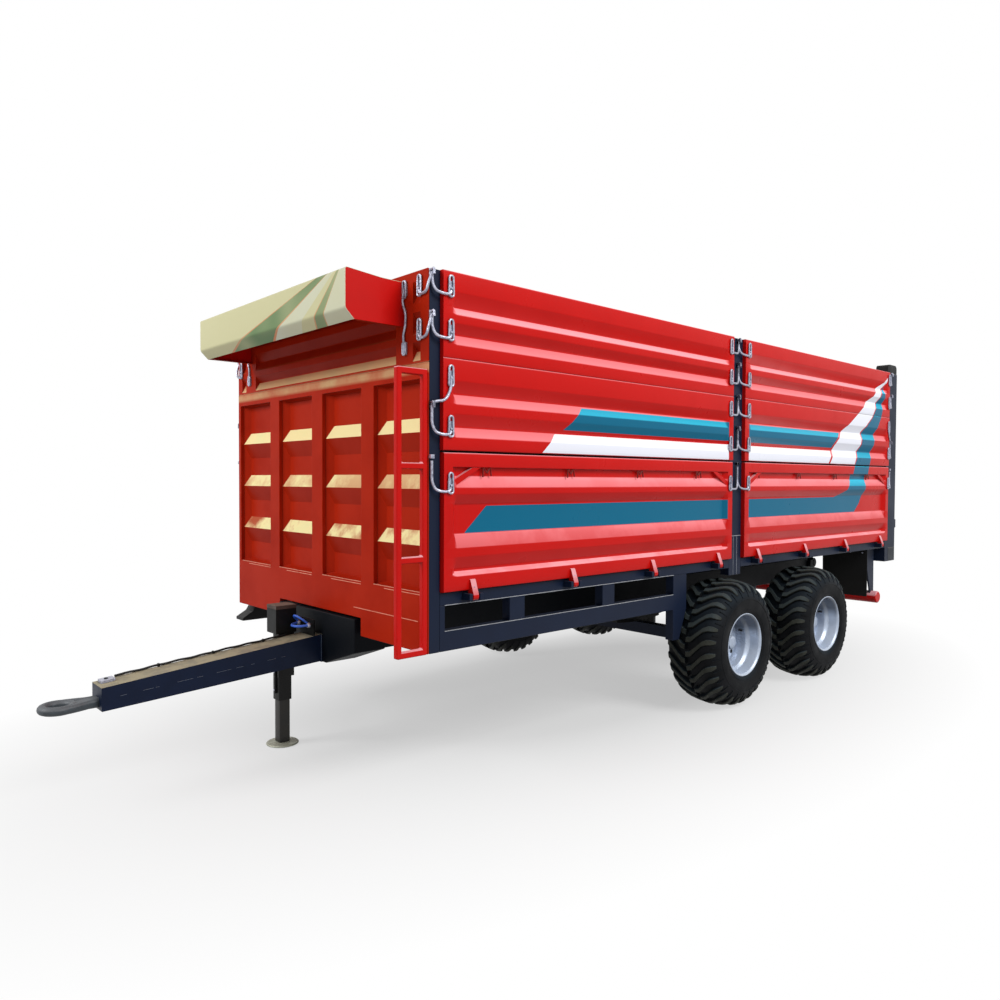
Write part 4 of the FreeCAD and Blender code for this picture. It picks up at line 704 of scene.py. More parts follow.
# --- Sides ---
@dataclass(frozen=True)
class SideBoards:
    """Ribbed boards between the pillars, three rows high.

    A profile is (height over the board's foot, share of the rib's depth) from the top
    edge down; the ribs run out into a flat frame at each end.
    """

    top: tuple = ((.422, 0), (.327, 0), (.253, 1), (.214, 0), (.174, 0), (.120, 1), (.066, 0),
        (0, 0))
    middle: tuple = ((.450, 0), (.343, 0), (.279, 1), (.225, 0), (.181, 0), (.117, 1), (.062, 0),
        (0, 0))
    drop: tuple = ((.686, 0), (.615, 0), (.612, 1), (.571, 1), (.511, 0), (.482, 0), (.428, 1),
        (.285, 1), (.211, 0), (.171, 0), (.107, 1), (.092, 1), (.077, 0), (0, 0))
    bands: tuple[int, ...] = (1, 0, 0, 0, 1)        # finish from station to station
    corner: float = 0.006
    depth: float = 0.027        # of the ribs
    frame: float = 0.055        # width of the flat end frame
    run_out: float = 0.030
    gap: float = 0.005          # round a drop side
    brace: tuple = ((0, .511), (0, .547), (.130, .614), (.182, .614))
    strip: Point = (0.005, 0.020)       # thickness and half height of a dark strip behind the seam, painted shade in its gap
    tie: tuple = ((-.028, -.052), (-.022, 0), (0, -.034), (.022, 0), (.030, -.046))
    tie_first: Point = (0.364, 3.010)       # behind the body's front, in either bay
    tie_pitch: float = 0.63
    tie_rod: float = 0.0042
    strap_half: float = 0.017
    strap_rise: float = 0.055
    strap_end: float = 0.180
    pin_out: float = 0.043
    pin_drop: float = 0.028

    def board(self, profile: Sequence[Point], foot: float, start: float, end: float) -> Array:
        """Rings of a board along Y.

        At a station the outer face lies at crest - depth * share * shown, where shown
        grows from 0 in the end frame to 1 past the ribs' run-out.

        Args:
            profile: its ribs.
            foot: height of its lower edge.
            start: its front end.
            end: its rear end.

        Returns:
            Six rings.
        """
        heights, shares = np.array(profile).T
        near, past, back = self.frame, self.frame + self.run_out, AT.crest - AT.skin
        stations = (start, start + near, start + past, end - past, end - near, end)
        rings = []
        for place, shown in zip(stations, (0, 0, 1, 1, 0, 0)):
            outer = np.stack([AT.crest - self.depth * shares * shown, foot + heights], 1)
            ring = rounded([*outer, (back, foot), (back, foot + heights[0])], self.corner)
            rings.append(lifted(ring, Y, place))
        return np.array(rings)

    def straps(self, start: float, end: float, foot: float) -> list[Array]:
        """Hinge brackets that slant out and down to the pins.

        Args:
            start: front end of the drop side.
            end: its rear end.
            foot: height of its lower edge.

        Returns:
            The rings of each bracket.
        """
        x, z = AT.half + self.pin_out, AT.floor - self.pin_drop
        outline = rounded([(AT.crest - .015, foot), (AT.crest - .015, foot + self.strap_rise),
                           (AT.crest + .006, foot + self.strap_rise), (x + .018, z + .004),
                           (x + .012, z - .016), (x - .012, z - .017), (x - .018, z)], .008)
        return [prism(outline, Y, y - self.strap_half, y + self.strap_half)
                for y in np.linspace(start + self.strap_end, end - self.strap_end, 4)]

    def ties(self, first: float) -> list[Array]:
        """Wire ties shaped like an M, under the drop side's top rail."""
        path = lifted(rounded(self.tie, .01, closed=False), X, AT.crest - .010)
        return [tube(path + (0, AT.front + first + number * self.tie_pitch, AT.seam_mid - .078),
                     self.tie_rod, X) for number in range(4)]

    def braces(self, start: float, end: float, foot: float) -> list[Array]:
        """Flat braces across the upper corners of a drop side with these ends and foot."""
        return [prism([(corner + way * y, foot + z) for y, z in self.brace], X,
                      AT.crest - self.depth, AT.crest - .004)
                for corner, way in ((start + self.frame, 1), (end - self.frame, -1))]

    def build(self) -> None:
        """Make the boards of both sides and the four drop sides."""
        for name, profile, foot in (("middle", self.middle, AT.seam_mid),
                                    ("top", self.top, AT.seam_top)):
            row = Piece(name + "_board_row", "bed", BANDED, RED)
            for bay in AT.bays():
                row.add(self.board(profile, foot + .001, *bay), self.bands, both=True)
            row.build(replaces=[name + "_boards"])
        inner, (thick, tall) = AT.crest - AT.skin - .001, self.strip
        # Dark strips behind the seams: painted shade seen through the gaps between the boards.
        strip = Piece("seam_shade_strips", "bed", NAVY_SHADED)
        for start, end in AT.bays():
            strip.add(block((inner - thick, start + .002, AT.seam_mid - tall),
                            (inner, end - .002, AT.seam_mid + tall)), both=True)
        strip.build()
        foot = AT.floor + self.gap
        for bay, first_tie, (start, end) in zip(("front", "rear"), self.tie_first, AT.bays()):
            ends = (start + self.gap, end - self.gap)
            for side, flip in SIDES:
                name = f"drop_side_{side}_{bay}"
                drop = Piece(name + "_board", name, BANDED, RED, RED_DEEP, ZINC, flip=flip)
                drop.add(self.board(self.drop, foot, *ends), self.bands)
                for strap in self.straps(*ends, foot):
                    drop.add(strap, 1)
                    bolt = (AT.crest + .016, strap[..., 1].mean(), foot + .012)
                    drop.add(bolt_heads([bolt], X, 1, .007), 3)
                for brace in self.braces(*ends, foot):
                    drop.add(brace, 1)
                for tie in self.ties(first_tie):
                    drop.add(tie, 2)
                drop.build(.002, [name])


class Level(Enum):
    """Heights of a toggle under the body's top or a seam: lever, end catch, middle catch."""

    TOP = ("top", .076, .022, .023)
    SECOND = ("top", .288, .222, .195)
    THIRD = ("seam_top", .088, .235, .003)
    FOURTH = ("seam_top", .333, .235, .225)
    DROP = ("seam_mid", .160, .052, .041)

    def lever(self) -> float:
        """Height of the lever's middle over the ground."""
        return getattr(AT, self.value[0]) - self.value[1]

    def catch(self, middle: bool) -> float:
        """Height of the catch over the ground, at an end post or the middle pillar."""
        return getattr(AT, self.value[0]) - self.value[3 if middle else 2]


@dataclass(frozen=True)
class Toggles:
    """Zinc-plated fork levers on the boards, and the bent bars that hang from catches.

    Points are (out, along, up): out of the boards' face, along the side, over the ground.
    """

    rod: float = 0.0074
    half: float = 0.0145        # of a fork's width
    tall: float = 0.050         # half of its height
    inset: float = 0.042
    rear_inset: float = 0.026
    rear_catch: float = 0.050
    front_inset: float = 0.062
    out: float = 0.008          # middle of the bars off the boards' face
    catch_out: float = -0.0125  # middle of the bars on the pillars' face
    corner_catch: float = 0.014

    def bar(self, lever: Point, catch: Point, catch_out: float, late: bool = False) -> Array:
        """Bent bar between a fork's foot and a catch.

        Each point of its path is a share of the reach, a height over the ground, and a
        share of the step from the board's face to the catch.

        Args:
            lever: (along, up) of the fork's middle.
            catch: (along, up) of the catch.
            catch_out: how far out the bar ends.
            late: True keeps it out until it has passed the corner.

        Returns:
            The bar's rings.
        """
        (ly, lz), (cy, cz) = lever, catch
        foot = lz - self.tall * .72
        rise = min(.045, .5 * (cz - foot))
        if cz > lz:
            path = [(0, foot + .014, 0), (.08, foot - .005, 0), (.56, foot - .006, 0),
                    (.86, foot + .006, 0 if late else .6), (1, foot + rise, .15 if late else 1),
                    (1, cz, 1)]
        else:
            path = [(0, lz, 0), (.02, foot - .022, 0), (.18, cz + .050, 0),
                    (.42, cz + .024, .1), (.85, cz + .020, 1), (1, cz, 1)]
        share, height, step = np.array(path).T
        points = np.stack([self.out + step * (catch_out - self.out), ly + share * (cy - ly),
                           height], 1)
        return tube(rounded(points, .022, 4, closed=False), self.rod, X, 8, .9)

    def fork(self, lever: Point) -> list[Array]:
        """Make one fork.

        Args:
            lever: (along, up) of its middle.

        Returns:
            Rings of the oval wire loop, its backing plate and its pin.
        """
        (y, z), half, tall = lever, self.half, self.tall
        loop = rounded([(y - half, z - tall), (y + half, z - tall), (y + half * .8, z + tall),
                        (y - half * .8, z + tall)], .014, 4)
        return [tube(lifted(loop, X, self.out), self.rod * .75, X, 8, closed=True),
                block((0, y - .012, z - .026), (.003, y + .012, z + .026)),
                lathe([(0, .006), (.014, .006), (.0155, .004)], X, 10, (0, y, z - .012))]

    def catch(self, y: float, z: float) -> list[Array]:
        """Make one catch.

        Args:
            y: where it is along the side.
            z: its height.

        Returns:
            Rings of the plate on the pillar, and of the hook that stands out of it.
        """
        back = AT.half - AT.crest
        hook = rounded([(back, 0, .010), (.004, 0, .020), (.005, 0, -.012)], .012, 3, False)
        return [block((back, y - .009, z - .014), (back + .005, y + .009, z + .020)),
                tube(hook + (0, y, z), .0065, Y, 8)]

    def add_to(self, piece: Piece, lever: Point, catch: Point, fixed: bool) -> None:
        """Add one toggle to a piece.

        Args:
            piece: what it becomes part of.
            lever: (along, up) of the fork's middle.
            catch: (along, up) of the catch.
            fixed: True draws the catch as well, and adds the mirror image of both.
        """
        parts = [*self.fork(lever), self.bar(lever, catch, self.catch_out)]
        if fixed:
            parts += self.catch(*catch)
        for number, rings in enumerate(parts):
            piece.add(rings + (AT.crest, 0, 0), 0, CAPPED if number else JOINED, fixed)

    def places(self) -> tuple[tuple[float, float, bool], ...]:
        """Where the toggles are along the side, for each end of each bay.

        Returns:
            The lever's place, the catch's, and whether it is on the middle pillar.
        """
        (f0, f1), (r0, r1) = AT.bays()
        middle = (f1 + r0) / 2
        return ((f0 + self.inset, AT.front + self.corner_catch, False),
                (f1 - self.inset, middle, True), (r0 + self.inset, middle, True),
                (r1 - self.rear_inset, r1 + self.rear_catch, False))

    def front_toggles(self, piece: Piece) -> None:
        """Make the forks on the front board, whose bars pass round the corner.

        Args:
            piece: what they become part of.
        """
        for level in (Level.TOP, Level.SECOND):
            lever = (AT.half - self.front_inset, level.lever())
            catch = (AT.half + .0105, level.catch(False))
            parts = [*self.fork(lever), self.bar(lever, catch, -self.corner_catch, True)]
            for number, rings in enumerate(parts):
                turned = np.stack([rings[..., 1], AT.front - rings[..., 0], rings[..., 2]], -1)
                piece.add(turned, 0, CAPPED if number else JOINED, both=True)

    def build(self) -> None:
        """Make the toggles of the fixed boards, the front ones and the drop sides' own."""
        fixed = Piece("board_toggles", "bed", ZINC)
        for level in list(Level)[:4]:
            for lever, catch, middle in self.places():
                self.add_to(fixed, (lever, level.lever()), (catch, level.catch(middle)), True)
        self.front_toggles(fixed)
        fixed.build(.0015, ["board_latches"])
        hooks = Piece("drop_side_hooks", "bed", ZINC)
        for number, (lever, catch, middle) in enumerate(self.places()):
            height = Level.DROP.catch(middle)
            for side, flip in SIDES:
                body = f"drop_side_{side}_{'front' if number < 2 else 'rear'}"
                own = Piece(f"{body}_toggle_{number}", body, ZINC, flip=flip)
                self.add_to(own, (lever, Level.DROP.lever()), (catch, height), False)
                own.build(.0015)
            hooks.add(block((AT.half, catch - .011, height + .010),
                            (AT.crest - .004, catch + .011, height + .030)), both=True)
        hooks.build(.002)


@dataclass(frozen=True)
class Pillars:
    """Navy pillars with their painted seams, and the feet of the rear posts."""

    seam: float = 0.0022        # radius of the seams
    joint: float = 0.6          # the same of the middle pillar's joints, as a share of it
    foot_in: float = 0.108      # the foot's start, inside the pillar's face
    foot_back: float = 0.07     # the same, behind the post's front

    def build(self) -> None:
        """Dress the pillars and lay their seams."""
        dress(NAVY, .004, "front_pillars", "centre_pillars", "rear_posts")
        dress(BLACK, .003, "gate_pivot_blocks")
        # The seams' pale colour is a painted highlight along them.
        seams = Piece("pillar_seams", "bed", SEAM)
        x = AT.half + PROUD
        for start, end, height in ((AT.centre_front, AT.centre_back, AT.floor + .165),
                                   (AT.rear_front, AT.rear_back, AT.top - .004)):
            seams.add(tube([(x, start + .004, height), (x, end - .004, height)], self.seam, X),
                      both=True)
        x = AT.half + self.joint * PROUD
        for length in (AT.centre_front + .055, AT.centre_back - .055):
            seams.add(tube([(x, length, AT.cross - .05), (x, length, AT.floor + .16)],
                           self.joint * self.seam, X), both=True)
        seams.build()
        foot = Piece("rear_post_foot", "bed", GREY)
        bottom = box("rear_posts")[0, 2] + .002
        foot.add(block((AT.half - self.foot_in, AT.rear_front + self.foot_back, bottom),
                       (AT.half + .0015, AT.rear_back - .002, AT.cross - .004)), both=True)
        foot.build(.004)


# --- Front ---
@dataclass(frozen=True)
class FrontEnd:
    """Front wall, its upper board, the hood and the ladder."""

    hood_inset: float = 0.199
    hood_reach: float = 0.336
    hood_drop: float = 0.016
    hood_face: float = 0.192
    hood_lip: float = 0.048
    sag: float = 0.020          # how much lower its sheet lies at the body
    sheet: float = 0.0015
    rim: float = 0.024
    post: float = 0.062         # half of a post of the lower wall
    latch_inset: float = 0.187
    latch_line: tuple = ((0, 2.50), (-.012, 2.45), (-.010, 2.415), (.014, 2.375), (.012, 2.31),
        (-.006, 2.27), (0, 2.20), (0, 2.165))

    def fold(self, depth: float) -> Array:
        """Work out the hood's folded line.

        Args:
            depth: how far inside its outer face.

        Returns:
            (y, z) points from the body's front to the lip.
        """
        top, front = AT.top - self.hood_drop - depth, AT.front - self.hood_reach + depth
        face = AT.top - self.hood_drop - self.hood_face
        return rounded([(AT.front, top - self.sag), (AT.front - .13, top - self.sag * .9),
                        (front, top), (front, face),
                        (front + self.hood_lip, face - self.hood_lip + depth * .4)],
                       .012, 4, closed=False)

    def hood(self) -> None:
        """Banded outer sheet, red lining and red side panels with turned-in rims."""
        half, t = AT.half - self.hood_inset, self.sheet
        hood = Piece("hood_cover", "bed", HOOD_BANDS, RED, RED_FRONT)
        hood.add(prism([*self.fold(0), *self.fold(t)[::-1]], X, -half, half))
        hood.add(prism([*self.fold(t), *self.fold(2.5 * t)[::-1]], X, -half + t, half - t), 2)
        foot = AT.top - self.hood_drop - self.hood_face - self.hood_lip
        hood.add(prism([*self.fold(t), (AT.front, foot)], X, half - 3 * t, half - .0002), 1,
                 both=True)
        lip = AT.front - self.hood_reach + self.hood_lip
        hood.add(block((half - .001 - self.rim, lip, foot),
                       (half - .001, AT.front, foot + 2 * t)), 2, both=True)
        hood.build(0.0, ["hood"])

    def latches(self) -> None:
        """Long wavy bars down the posts of the upper front board, forked at both ends."""
        latch = Piece("front_board_latches", "bed", ZINC)
        x, y = AT.half - self.latch_inset, AT.front - .009
        line = rounded(self.latch_line, .02, 3, closed=False) + (x, 0)
        latch.add(tube(lifted(line, Y, y), .0065, Y, 8), both=True)
        for height, tall in ((2.49, .042), (2.20, .03)):
            loop = rounded(rectangle(x - .013, height - tall, x + .013, height + tall), .011, 3)
            latch.add(tube(lifted(loop, Y, y), .0055, Y, 8, closed=True), 0, JOINED, True)
            latch.add(block((x - .016, AT.front - .004, height - .03),
                            (x + .016, AT.front, height + .03)), both=True)
        latch.build(.0015)

    def beads(self) -> None:
        """Weld lines along the apron, broken at the posts."""
        # Their pale colour is a painted highlight.
        beads = Piece("apron_seams", "bed", RED_SEAM)
        pitch = AT.half / 2
        runs = [(AT.half - .67, AT.half - .08, AT.floor - .140)]
        for bay in range(4):
            start = bay * pitch - AT.half + self.post
            end = start + pitch - 2 * self.post
            runs += [(start, end, AT.floor + .006), (start + .10, end, AT.floor - .007)]
        y = AT.front - PROUD
        for start, end, height in runs:
            beads.add(tube([(start, y, height), (end, y, height)], .0020, Y))
        beads.build()

    def build(self) -> None:
        """Dress the wall, board and ladder, and make the rest."""
        dress(RED_FRONT, .005, "front_wall", "front_upper_board")
        dress(RED, .007, "ladder")
        self.hood()
        self.latches()
        self.beads()


# --- Underneath ---
@dataclass(frozen=True)
class Underframe:
    """Floor, chassis, skirts and running gear that keep their CAD shapes."""

    rail: float = 0.100
    taper: float = 0.105        # rise of the front box's foot towards its ends
    root: float = 0.130         # half of its level part, at the drawbar
    tail: float = 0.147         # what the skirts' lines leave free at the rear

    def build(self) -> None:
        """Dress the frame's nodes, make the front box and lay the skirt's edge lines."""
        dress(NAVY, .003, "spring_hangers", "equalisers", "bed_side_rails", "rear_sill",
              "side_skirts", "hinge_lugs", "underrun_brackets", "flap_hangers", "axles")
        # Parts under the body, here and below, take the darker navy as painted shade.
        dress(NAVY_SHADED, .003, "chassis_rails", "chassis_cross_members")
        first, last = box("chassis_front_box")
        front = Piece("front_cross_box", "chassis", NAVY_SHADED)
        front.add(prism([(-last[0], first[2] + self.taper), (-self.root, first[2]),
                         (self.root, first[2]), (last[0], first[2] + self.taper),
                         (last[0], last[2]), (-last[0], last[2])], Y, first[1], last[1]))
        front.build(.006, ["chassis_front_box"])
        dress(NAVY_SHADED, 0.0, "tip_hinge", "bed_rails", "bed_cross_members", "bed_floor")
        dress(BLACK, 0.0, "leaf_springs", "ram_barrel")
        dress(CHROME, 0.0, *sorted(n for n in frame["nodes"] if n.startswith("ram_stage")))
        # Pale lines along the skirt's edges, painted highlights.
        lines = Piece("skirt_edge_lines", "bed", SEAM)
        x, start = AT.half + PROUD, AT.pillar_back + .03
        end = box("side_skirts")[1, 1] - self.tail
        for height in (AT.skirt + self.rail, AT.cross + .001):
            lines.add(tube([(x, start, height), (x, end, height)], .002, X), both=True)
        lines.build()


# --- Drawbar ---
@dataclass(frozen=True)
class DrawbarEnd:
    """Drawbar with its eye, the parking jack and the brake couplings."""

    bar: float = 0.021          # radius of the eye's bar
    hole: float = 0.045
    half: float = 0.08
    front_low: float = 0.435
    front_high: float = 0.549
    root_high: float = 0.658
    root_seam: float = 0.0945
    dashes: tuple = ((.07, .03), (.16, .05), (.21, .018), (.30, .06), (.35, .02), (.385, .03),
        (.47, .055), (.52, .02), (.56, .04), (.63, .02), (.71, .05), (.78, .022))
    casing: float = 0.0395      # halves of the jack's square tubes
    leg: float = 0.032
    head: float = 0.162         # height of the jack's head
    inner: float = -0.0805      # side of the head that faces the drawbar

    def shank(self, *stations: tuple[float, ...], power: float) -> Array:
        """Rings between ellipse and box: each coordinate is the half times |cos|^power.

        Args:
            stations: (middle in X, length behind the eye's centre, half width, half
                height) of each ring.
            power: 1 for an ellipse, towards 0 for a box.

        Returns:
            The rings, about the eye's centre.
        """
        turn = np.linspace(0, math.tau, 24, endpoint=False)
        middle, along, wide, tall = np.array(stations).T[:, :, None]
        out, up = [np.sign(wave) * np.abs(wave) ** power
                   for wave in (np.cos(turn), np.sin(turn))]
        return np.stack([middle + wide * out, along + 0 * out, tall * up], -1)

    def eye(self) -> None:
        """Forged ring on two arms and a web that taper back to the drawbar's mouth."""
        (_, tip, bottom), (_, end, top) = box("tow_eye")
        y = tip + self.hole + 2 * self.bar
        centre = (0, y, (bottom + top) / 2)
        turn = np.linspace(0, math.tau, 14, endpoint=False)
        section = np.stack([self.bar * np.sin(turn),
                            self.hole + self.bar + self.bar * np.cos(turn)], 1)
        eye = Piece("forged_tow_eye", "chassis", FORGED, centre=centre)
        eye.add(lathe(section, Z, 64), 0, JOINED)
        arm = self.shank((.064, .012, .019, .019), (.060, .045, .020, .020),
                         (.045, .085, .021, .021), (.030, .125, .0215, .0215),
                         (.021, end - y, .0215, .024), power=.8)
        eye.add(arm, both=True)
        eye.add(self.shank((0, .060, .020, .008), (0, .075, .046, .014), (0, .100, .046, .017),
                           (0, .130, .040, .020), (0, end - y, .041, .023), power=.6))
        eye.build(0.0, ["tow_eye"])

    def beam(self) -> None:
        """Dress the beam; lay its broken weld lines, its plate and the line clipped to it."""
        dress(NAVY_DUSTY, .004, "drawbar")
        start, end = box("drawbar")[:, 1]
        root_low = box("chassis_front_box")[0, 2] + .003
        first = (self.front_low + self.front_high) / 2
        rise = ((root_low + self.root_high) / 2 - first) / (end - start)
        # The weld lines' lighter colour is a painted highlight.
        seams = Piece("drawbar_weld_lines", "chassis", DIM_SEAM)
        for share, dash in self.dashes:
            run = share * (end - start) + np.array((0, dash))
            path = np.stack([np.full(2, self.half), start + run, first + rise * run], 1)
            seams.add(tube(path, .0010, X), both=True)
        x, y = self.root_seam, end - .021
        seams.add(tube([(x, y, root_low), (x, y, self.root_high)], .0013, Y), both=True)
        seams.build()
        slope = (self.root_high - self.front_high) / (end - start)
        fittings = Piece("drawbar_fittings", "chassis", BLACK, ZINC,
                         centre=(0, start, self.front_high))
        plate = block((-.060, .02, 0), (0, .085, .014))
        plate[..., 2] += slope * plate[..., 1]
        fittings.add(plate, 1)
        fittings.add(bolt_heads([(-.030, .05, .016)], Z, 1, .010))
        t = np.linspace(0, 1, 40)
        y = .10 + t * .93
        path = np.stack([-.070 + .003 * np.sin(t * 17), y,
                         slope * y + .007 + .003 * np.sin(t * 23) ** 2], 1)
        fittings.add(tube(path, .006, X, 8))
        for clip in path[9::12]:
            fittings.add(block(clip - (.010, .005, .009), clip + (.010, .005, .0072)))
        fittings.build(.0015)

    def jack(self) -> None:
        """Square jack tube with pinned head and lid, its catch plate, and the sliding leg."""
        (_, _, bottom), (_, _, top) = box("jack_housing")
        x, y, _ = centre = box("jack_leg").mean(0) * (1, 1, 0)
        neck, side, inner = top - self.head, self.casing, self.inner - x
        outer = rounded(rectangle(-1, -1, 1, 1), .16, 3)
        housing = Piece("jack_casing", "chassis", BLACK, LID, ZINC, centre=centre)
        housing.add([lifted(outer * half, Z, height) for height, half in (
            (bottom, self.leg + .001), (bottom, side), (neck, side), (neck, self.leg + .001))],
            0, JOINED)
        housing.add(block((-.064, -.064, neck), (inner - .0005, .064, top - .022)))
        housing.add(block((-.0645, -.0645, top - .021), (inner, .0645, top)), 1)
        housing.add(block((side - .001, -.049, bottom + .14), (inner, .049, neck)))
        housing.add(block((-.010, -side - .012, bottom + .04), (.010, -side, bottom + .19)))
        housing.add(bolt_heads([(.002, -side - .012, bottom + up) for up in (.06, .165)], Y, -1,
                               .0065), 2)
        housing.build(.003, ["jack_housing"])
        leg = Piece("jack_sliding_leg", "jack_leg", BARE, FOOT, centre=centre)
        leg.add([lifted(outer * self.leg, Z, height) for height in (.016, .3, .388)])
        leg.add(lathe([(0.0, .080), (.004, .092), (.008, .093), (.013, .088), (.015, .060),
                       (.0165, .045)], Z), 1)
        leg.build(.0015, ["jack_leg"])

    def brakes(self) -> None:
        """Blue air hose in a half loop between two bright couplings, and a spare loop."""
        dress(BLACK, .002, "service_bracket")
        first, last = box("service_hose")
        height, start, reach = (first[2] + last[2]) / 2, last[1], last[0] - .007
        turn = np.linspace(0, math.pi, 40)
        path = np.stack([reach * np.cos(turn), start - reach * np.sin(turn),
                         height - .004 * np.sin(turn)], 1)
        hose = Piece("blue_hose_loop", "chassis", HOSE, ZINC)
        hose.add(tube(path, .0068 + .0004 * (np.arange(40) % 2), Z, 10))
        lift = .045 * np.sin(turn)
        spare = path * (.93, 1, 1) + (0, 0, .012) + np.stack([0 * lift, .3 * lift, lift], 1)
        hose.add(tube(spare, .0060, (0, .5, .87), 10))
        coupling = [(0, .012), (.004, .0145), (.014, .0145), (.016, .010), (.030, .010),
                    (.033, .013), (.040, .013)]
        for side in (-1, 1):
            hose.add(lathe(coupling, Y, 18, (side * reach, start - .004, height)), 1)
        hose.build(0.0, ["service_hose"])

    def build(self) -> None:
        """Make everything ahead of the body."""
        self.eye()
        self.beam()
        self.jack()
        self.brakes()


# --- Wheels ---
@dataclass(frozen=True)
class Wheel:
    """Wide low-pressure tyre with bent bar lugs, on a deep dished rim.

    Everything is worked out with the axle along X at the origin, outer side at +X;
    profiles are (x, radius).
    """

    wall: tuple = ((.176, .204), (.187, .217), (.194, .232), (.1985, .252), (.2012, .275),
        (.2015, .298), (.197, .322), (.189, .345), (.177, .365), (.161, .382), (.143, .393),
        (.115, .4015), (.075, .4070), (.030, .4095))
    lining: tuple = ((.166, .204), (.175, .230), (.187, .300), (.160, .360), (.09, .385))
    lugs: int = 28
    # Middle line of a lug: x, radii of its top and foot, angle, half width over 0.437.
    lug: tuple = ((.003, .4368, .406, -.075, .0175), (.034, .4345, .404, -.062, .0185),
        (.070, .4300, .400, .020, .0165), (.110, .4230, .394, .112, .0170),
        (.138, .4140, .386, .150, .0190), (.158, .4010, .374, .158, .0200),
        (.172, .3850, .362, .160, .0170), (.184, .3620, .348, .166, .010))
    barrel: tuple = ((.187, .2095), (.186, .2130), (.183, .2145), (.179, .2125), (.176, .204),
        (.173, .2005), (.112, .198), (.100, .192), (.092, .180), (.083, .175))
    bore: tuple = ((.185, .205), (.180, .199), (.171, .1945), (.114, .192), (.103, .186),
        (.094, .174), (.083, .169))
    disc: tuple = ((.004, .1715), (.014, .1715), (.024, .150), (.030, .128), (.030, .100),
        (.024, .088), (.024, .060), (.010, .060), (.010, .086), (.016, .098), (.016, .128),
        (.008, .150))
    hub: tuple = ((-.044, .055), (.01, .057), (.050, .056), (.054, .050), (.080, .047),
        (.090, .043), (.0945, .030), (.0945, .010))

    def lug_rings(self) -> Array:
        """All lugs at once.

        The lug's middle line leaves the tread's centre at a steep slant, bends level
        on the shoulder and sinks into the wall; at each station six points stand about
        it: foot, chamfer and top on either side.

        Returns:
            The rings, (lugs * 2, stations, 6, 3).
        """
        x, top, base, turn, half = np.array(self.lug).T[:, :, None]
        radius = base + (top - base) * (0, .78, 1, 1, .78, 0)
        angle = turn + half / .437 * (-1.25, -1.0, -.84, .84, 1.0, 1.25)
        first = angle + (np.arange(self.lugs) * math.tau / self.lugs)[:, None, None]
        angles = np.concatenate([first, first + math.pi / self.lugs])
        places = x + 0 * first
        return np.stack([np.concatenate([places, -places]), radius * np.sin(angles),
                         radius * np.cos(angles)], -1)

    def sipes(self) -> Array:
        """Thin raised bars across the shoulder between the lugs.

        Returns:
            The rings, (lugs, 3, 4, 3).
        """
        angle = (np.arange(self.lugs)[:, None, None] + .5) * math.tau / self.lugs + .175
        along, up = np.array(rectangle(-.0035, -.004, .0035, .003)).T
        x, r = np.array([(.166, .382), (.184, .357), (.196, .326)]).T[:, :, None]
        turn = angle + along / r
        return np.stack([x + .6 * up + 0 * turn, (r + up) * np.sin(turn),
                         (r + up) * np.cos(turn)], -1)

    def tyre(self, tyre: Piece) -> None:
        """Make a tyre: carcass, lugs, bars, and two raised rings on either wall.

        Args:
            tyre: the empty piece.
        """
        outline = both_ways(self.wall) + both_ways(self.lining)[::-1]
        tyre.add(lathe(outline, X, 112), 0, JOINED)
        # Lug tops and chamfers take the lighter tread rubber, partly a painted highlight.
        tyre.add(self.lug_rings(), np.tile((0, 1, 1, 1, 0, 0), (7, 1)))
        tyre.add(self.sipes(), both=True)
        for radius, x in ((.240, .1955), (.312, .1995)):
            line = [(x - .003, radius - .004), (x + .0015, radius - .0015),
                    (x + .0015, radius + .0015), (x - .003, radius + .004)]
            tyre.add(lathe(line, X, 96), 0, JOINED, True)

    def rim(self, rim: Piece) -> None:
        """Make a rim: rolled flanges and drop well, disc, hub, studs, holes and valve.

        Args:
            rim: the empty piece.
        """
        rim.add(lathe(both_ways(self.barrel) + both_ways(self.bore)[::-1], X, 96), 0, JOINED)
        rim.add(lathe(self.disc, X, 72), 0, JOINED)
        rim.add(lathe(self.hub, X, 40))
        # The disc's holes are thin black discs on its face: painted shade where the holes show
        # dark.
        hole = lathe([(0, .0150), (.0012, .0150), (.0018, .0125)], X, 16)
        for count, ahead, x, radius in ((6, .2, .024, .0725), (8, 0, .0295, .114)):
            angle = np.arange(count) * math.tau / count + ahead
            spots = lifted(radius * np.stack([np.sin(angle), np.cos(angle)], 1), X, x)
            rim.add(bolt_heads(spots, X, 1, .0125) if ahead else spots[:, None, None] + hole, 1)
        rim.add(lathe([(.04, .0045), (.07, .0045), (.074, .003)], X, 8, (0, .150, .060)), 1)

    def build(self) -> None:
        """Make the four wheels on their bodies."""
        for row in ("front", "rear"):
            for side, flip in SIDES:
                place = f"{row}_{side}"
                centre = box("tyre_" + place).mean(0)
                for part, fill, finishes in (("tyre_", self.tyre, (TYRE, TREAD)),
                                             ("rim_", self.rim, (SILVER, BLACK))):
                    made = Piece(f"{part}{place}_dressed", "wheel_" + place, *finishes,
                                 flip=flip, centre=centre)
                    fill(made)
                    made.build(0.0, [part + place])


def both_ways(profile: Sequence[Point]) -> list[Point]:
    """Profile of (x, radius) points, then its mirror image from the last point back."""
    return [*profile, *[(-x, radius) for x, radius in profile[::-1]]]


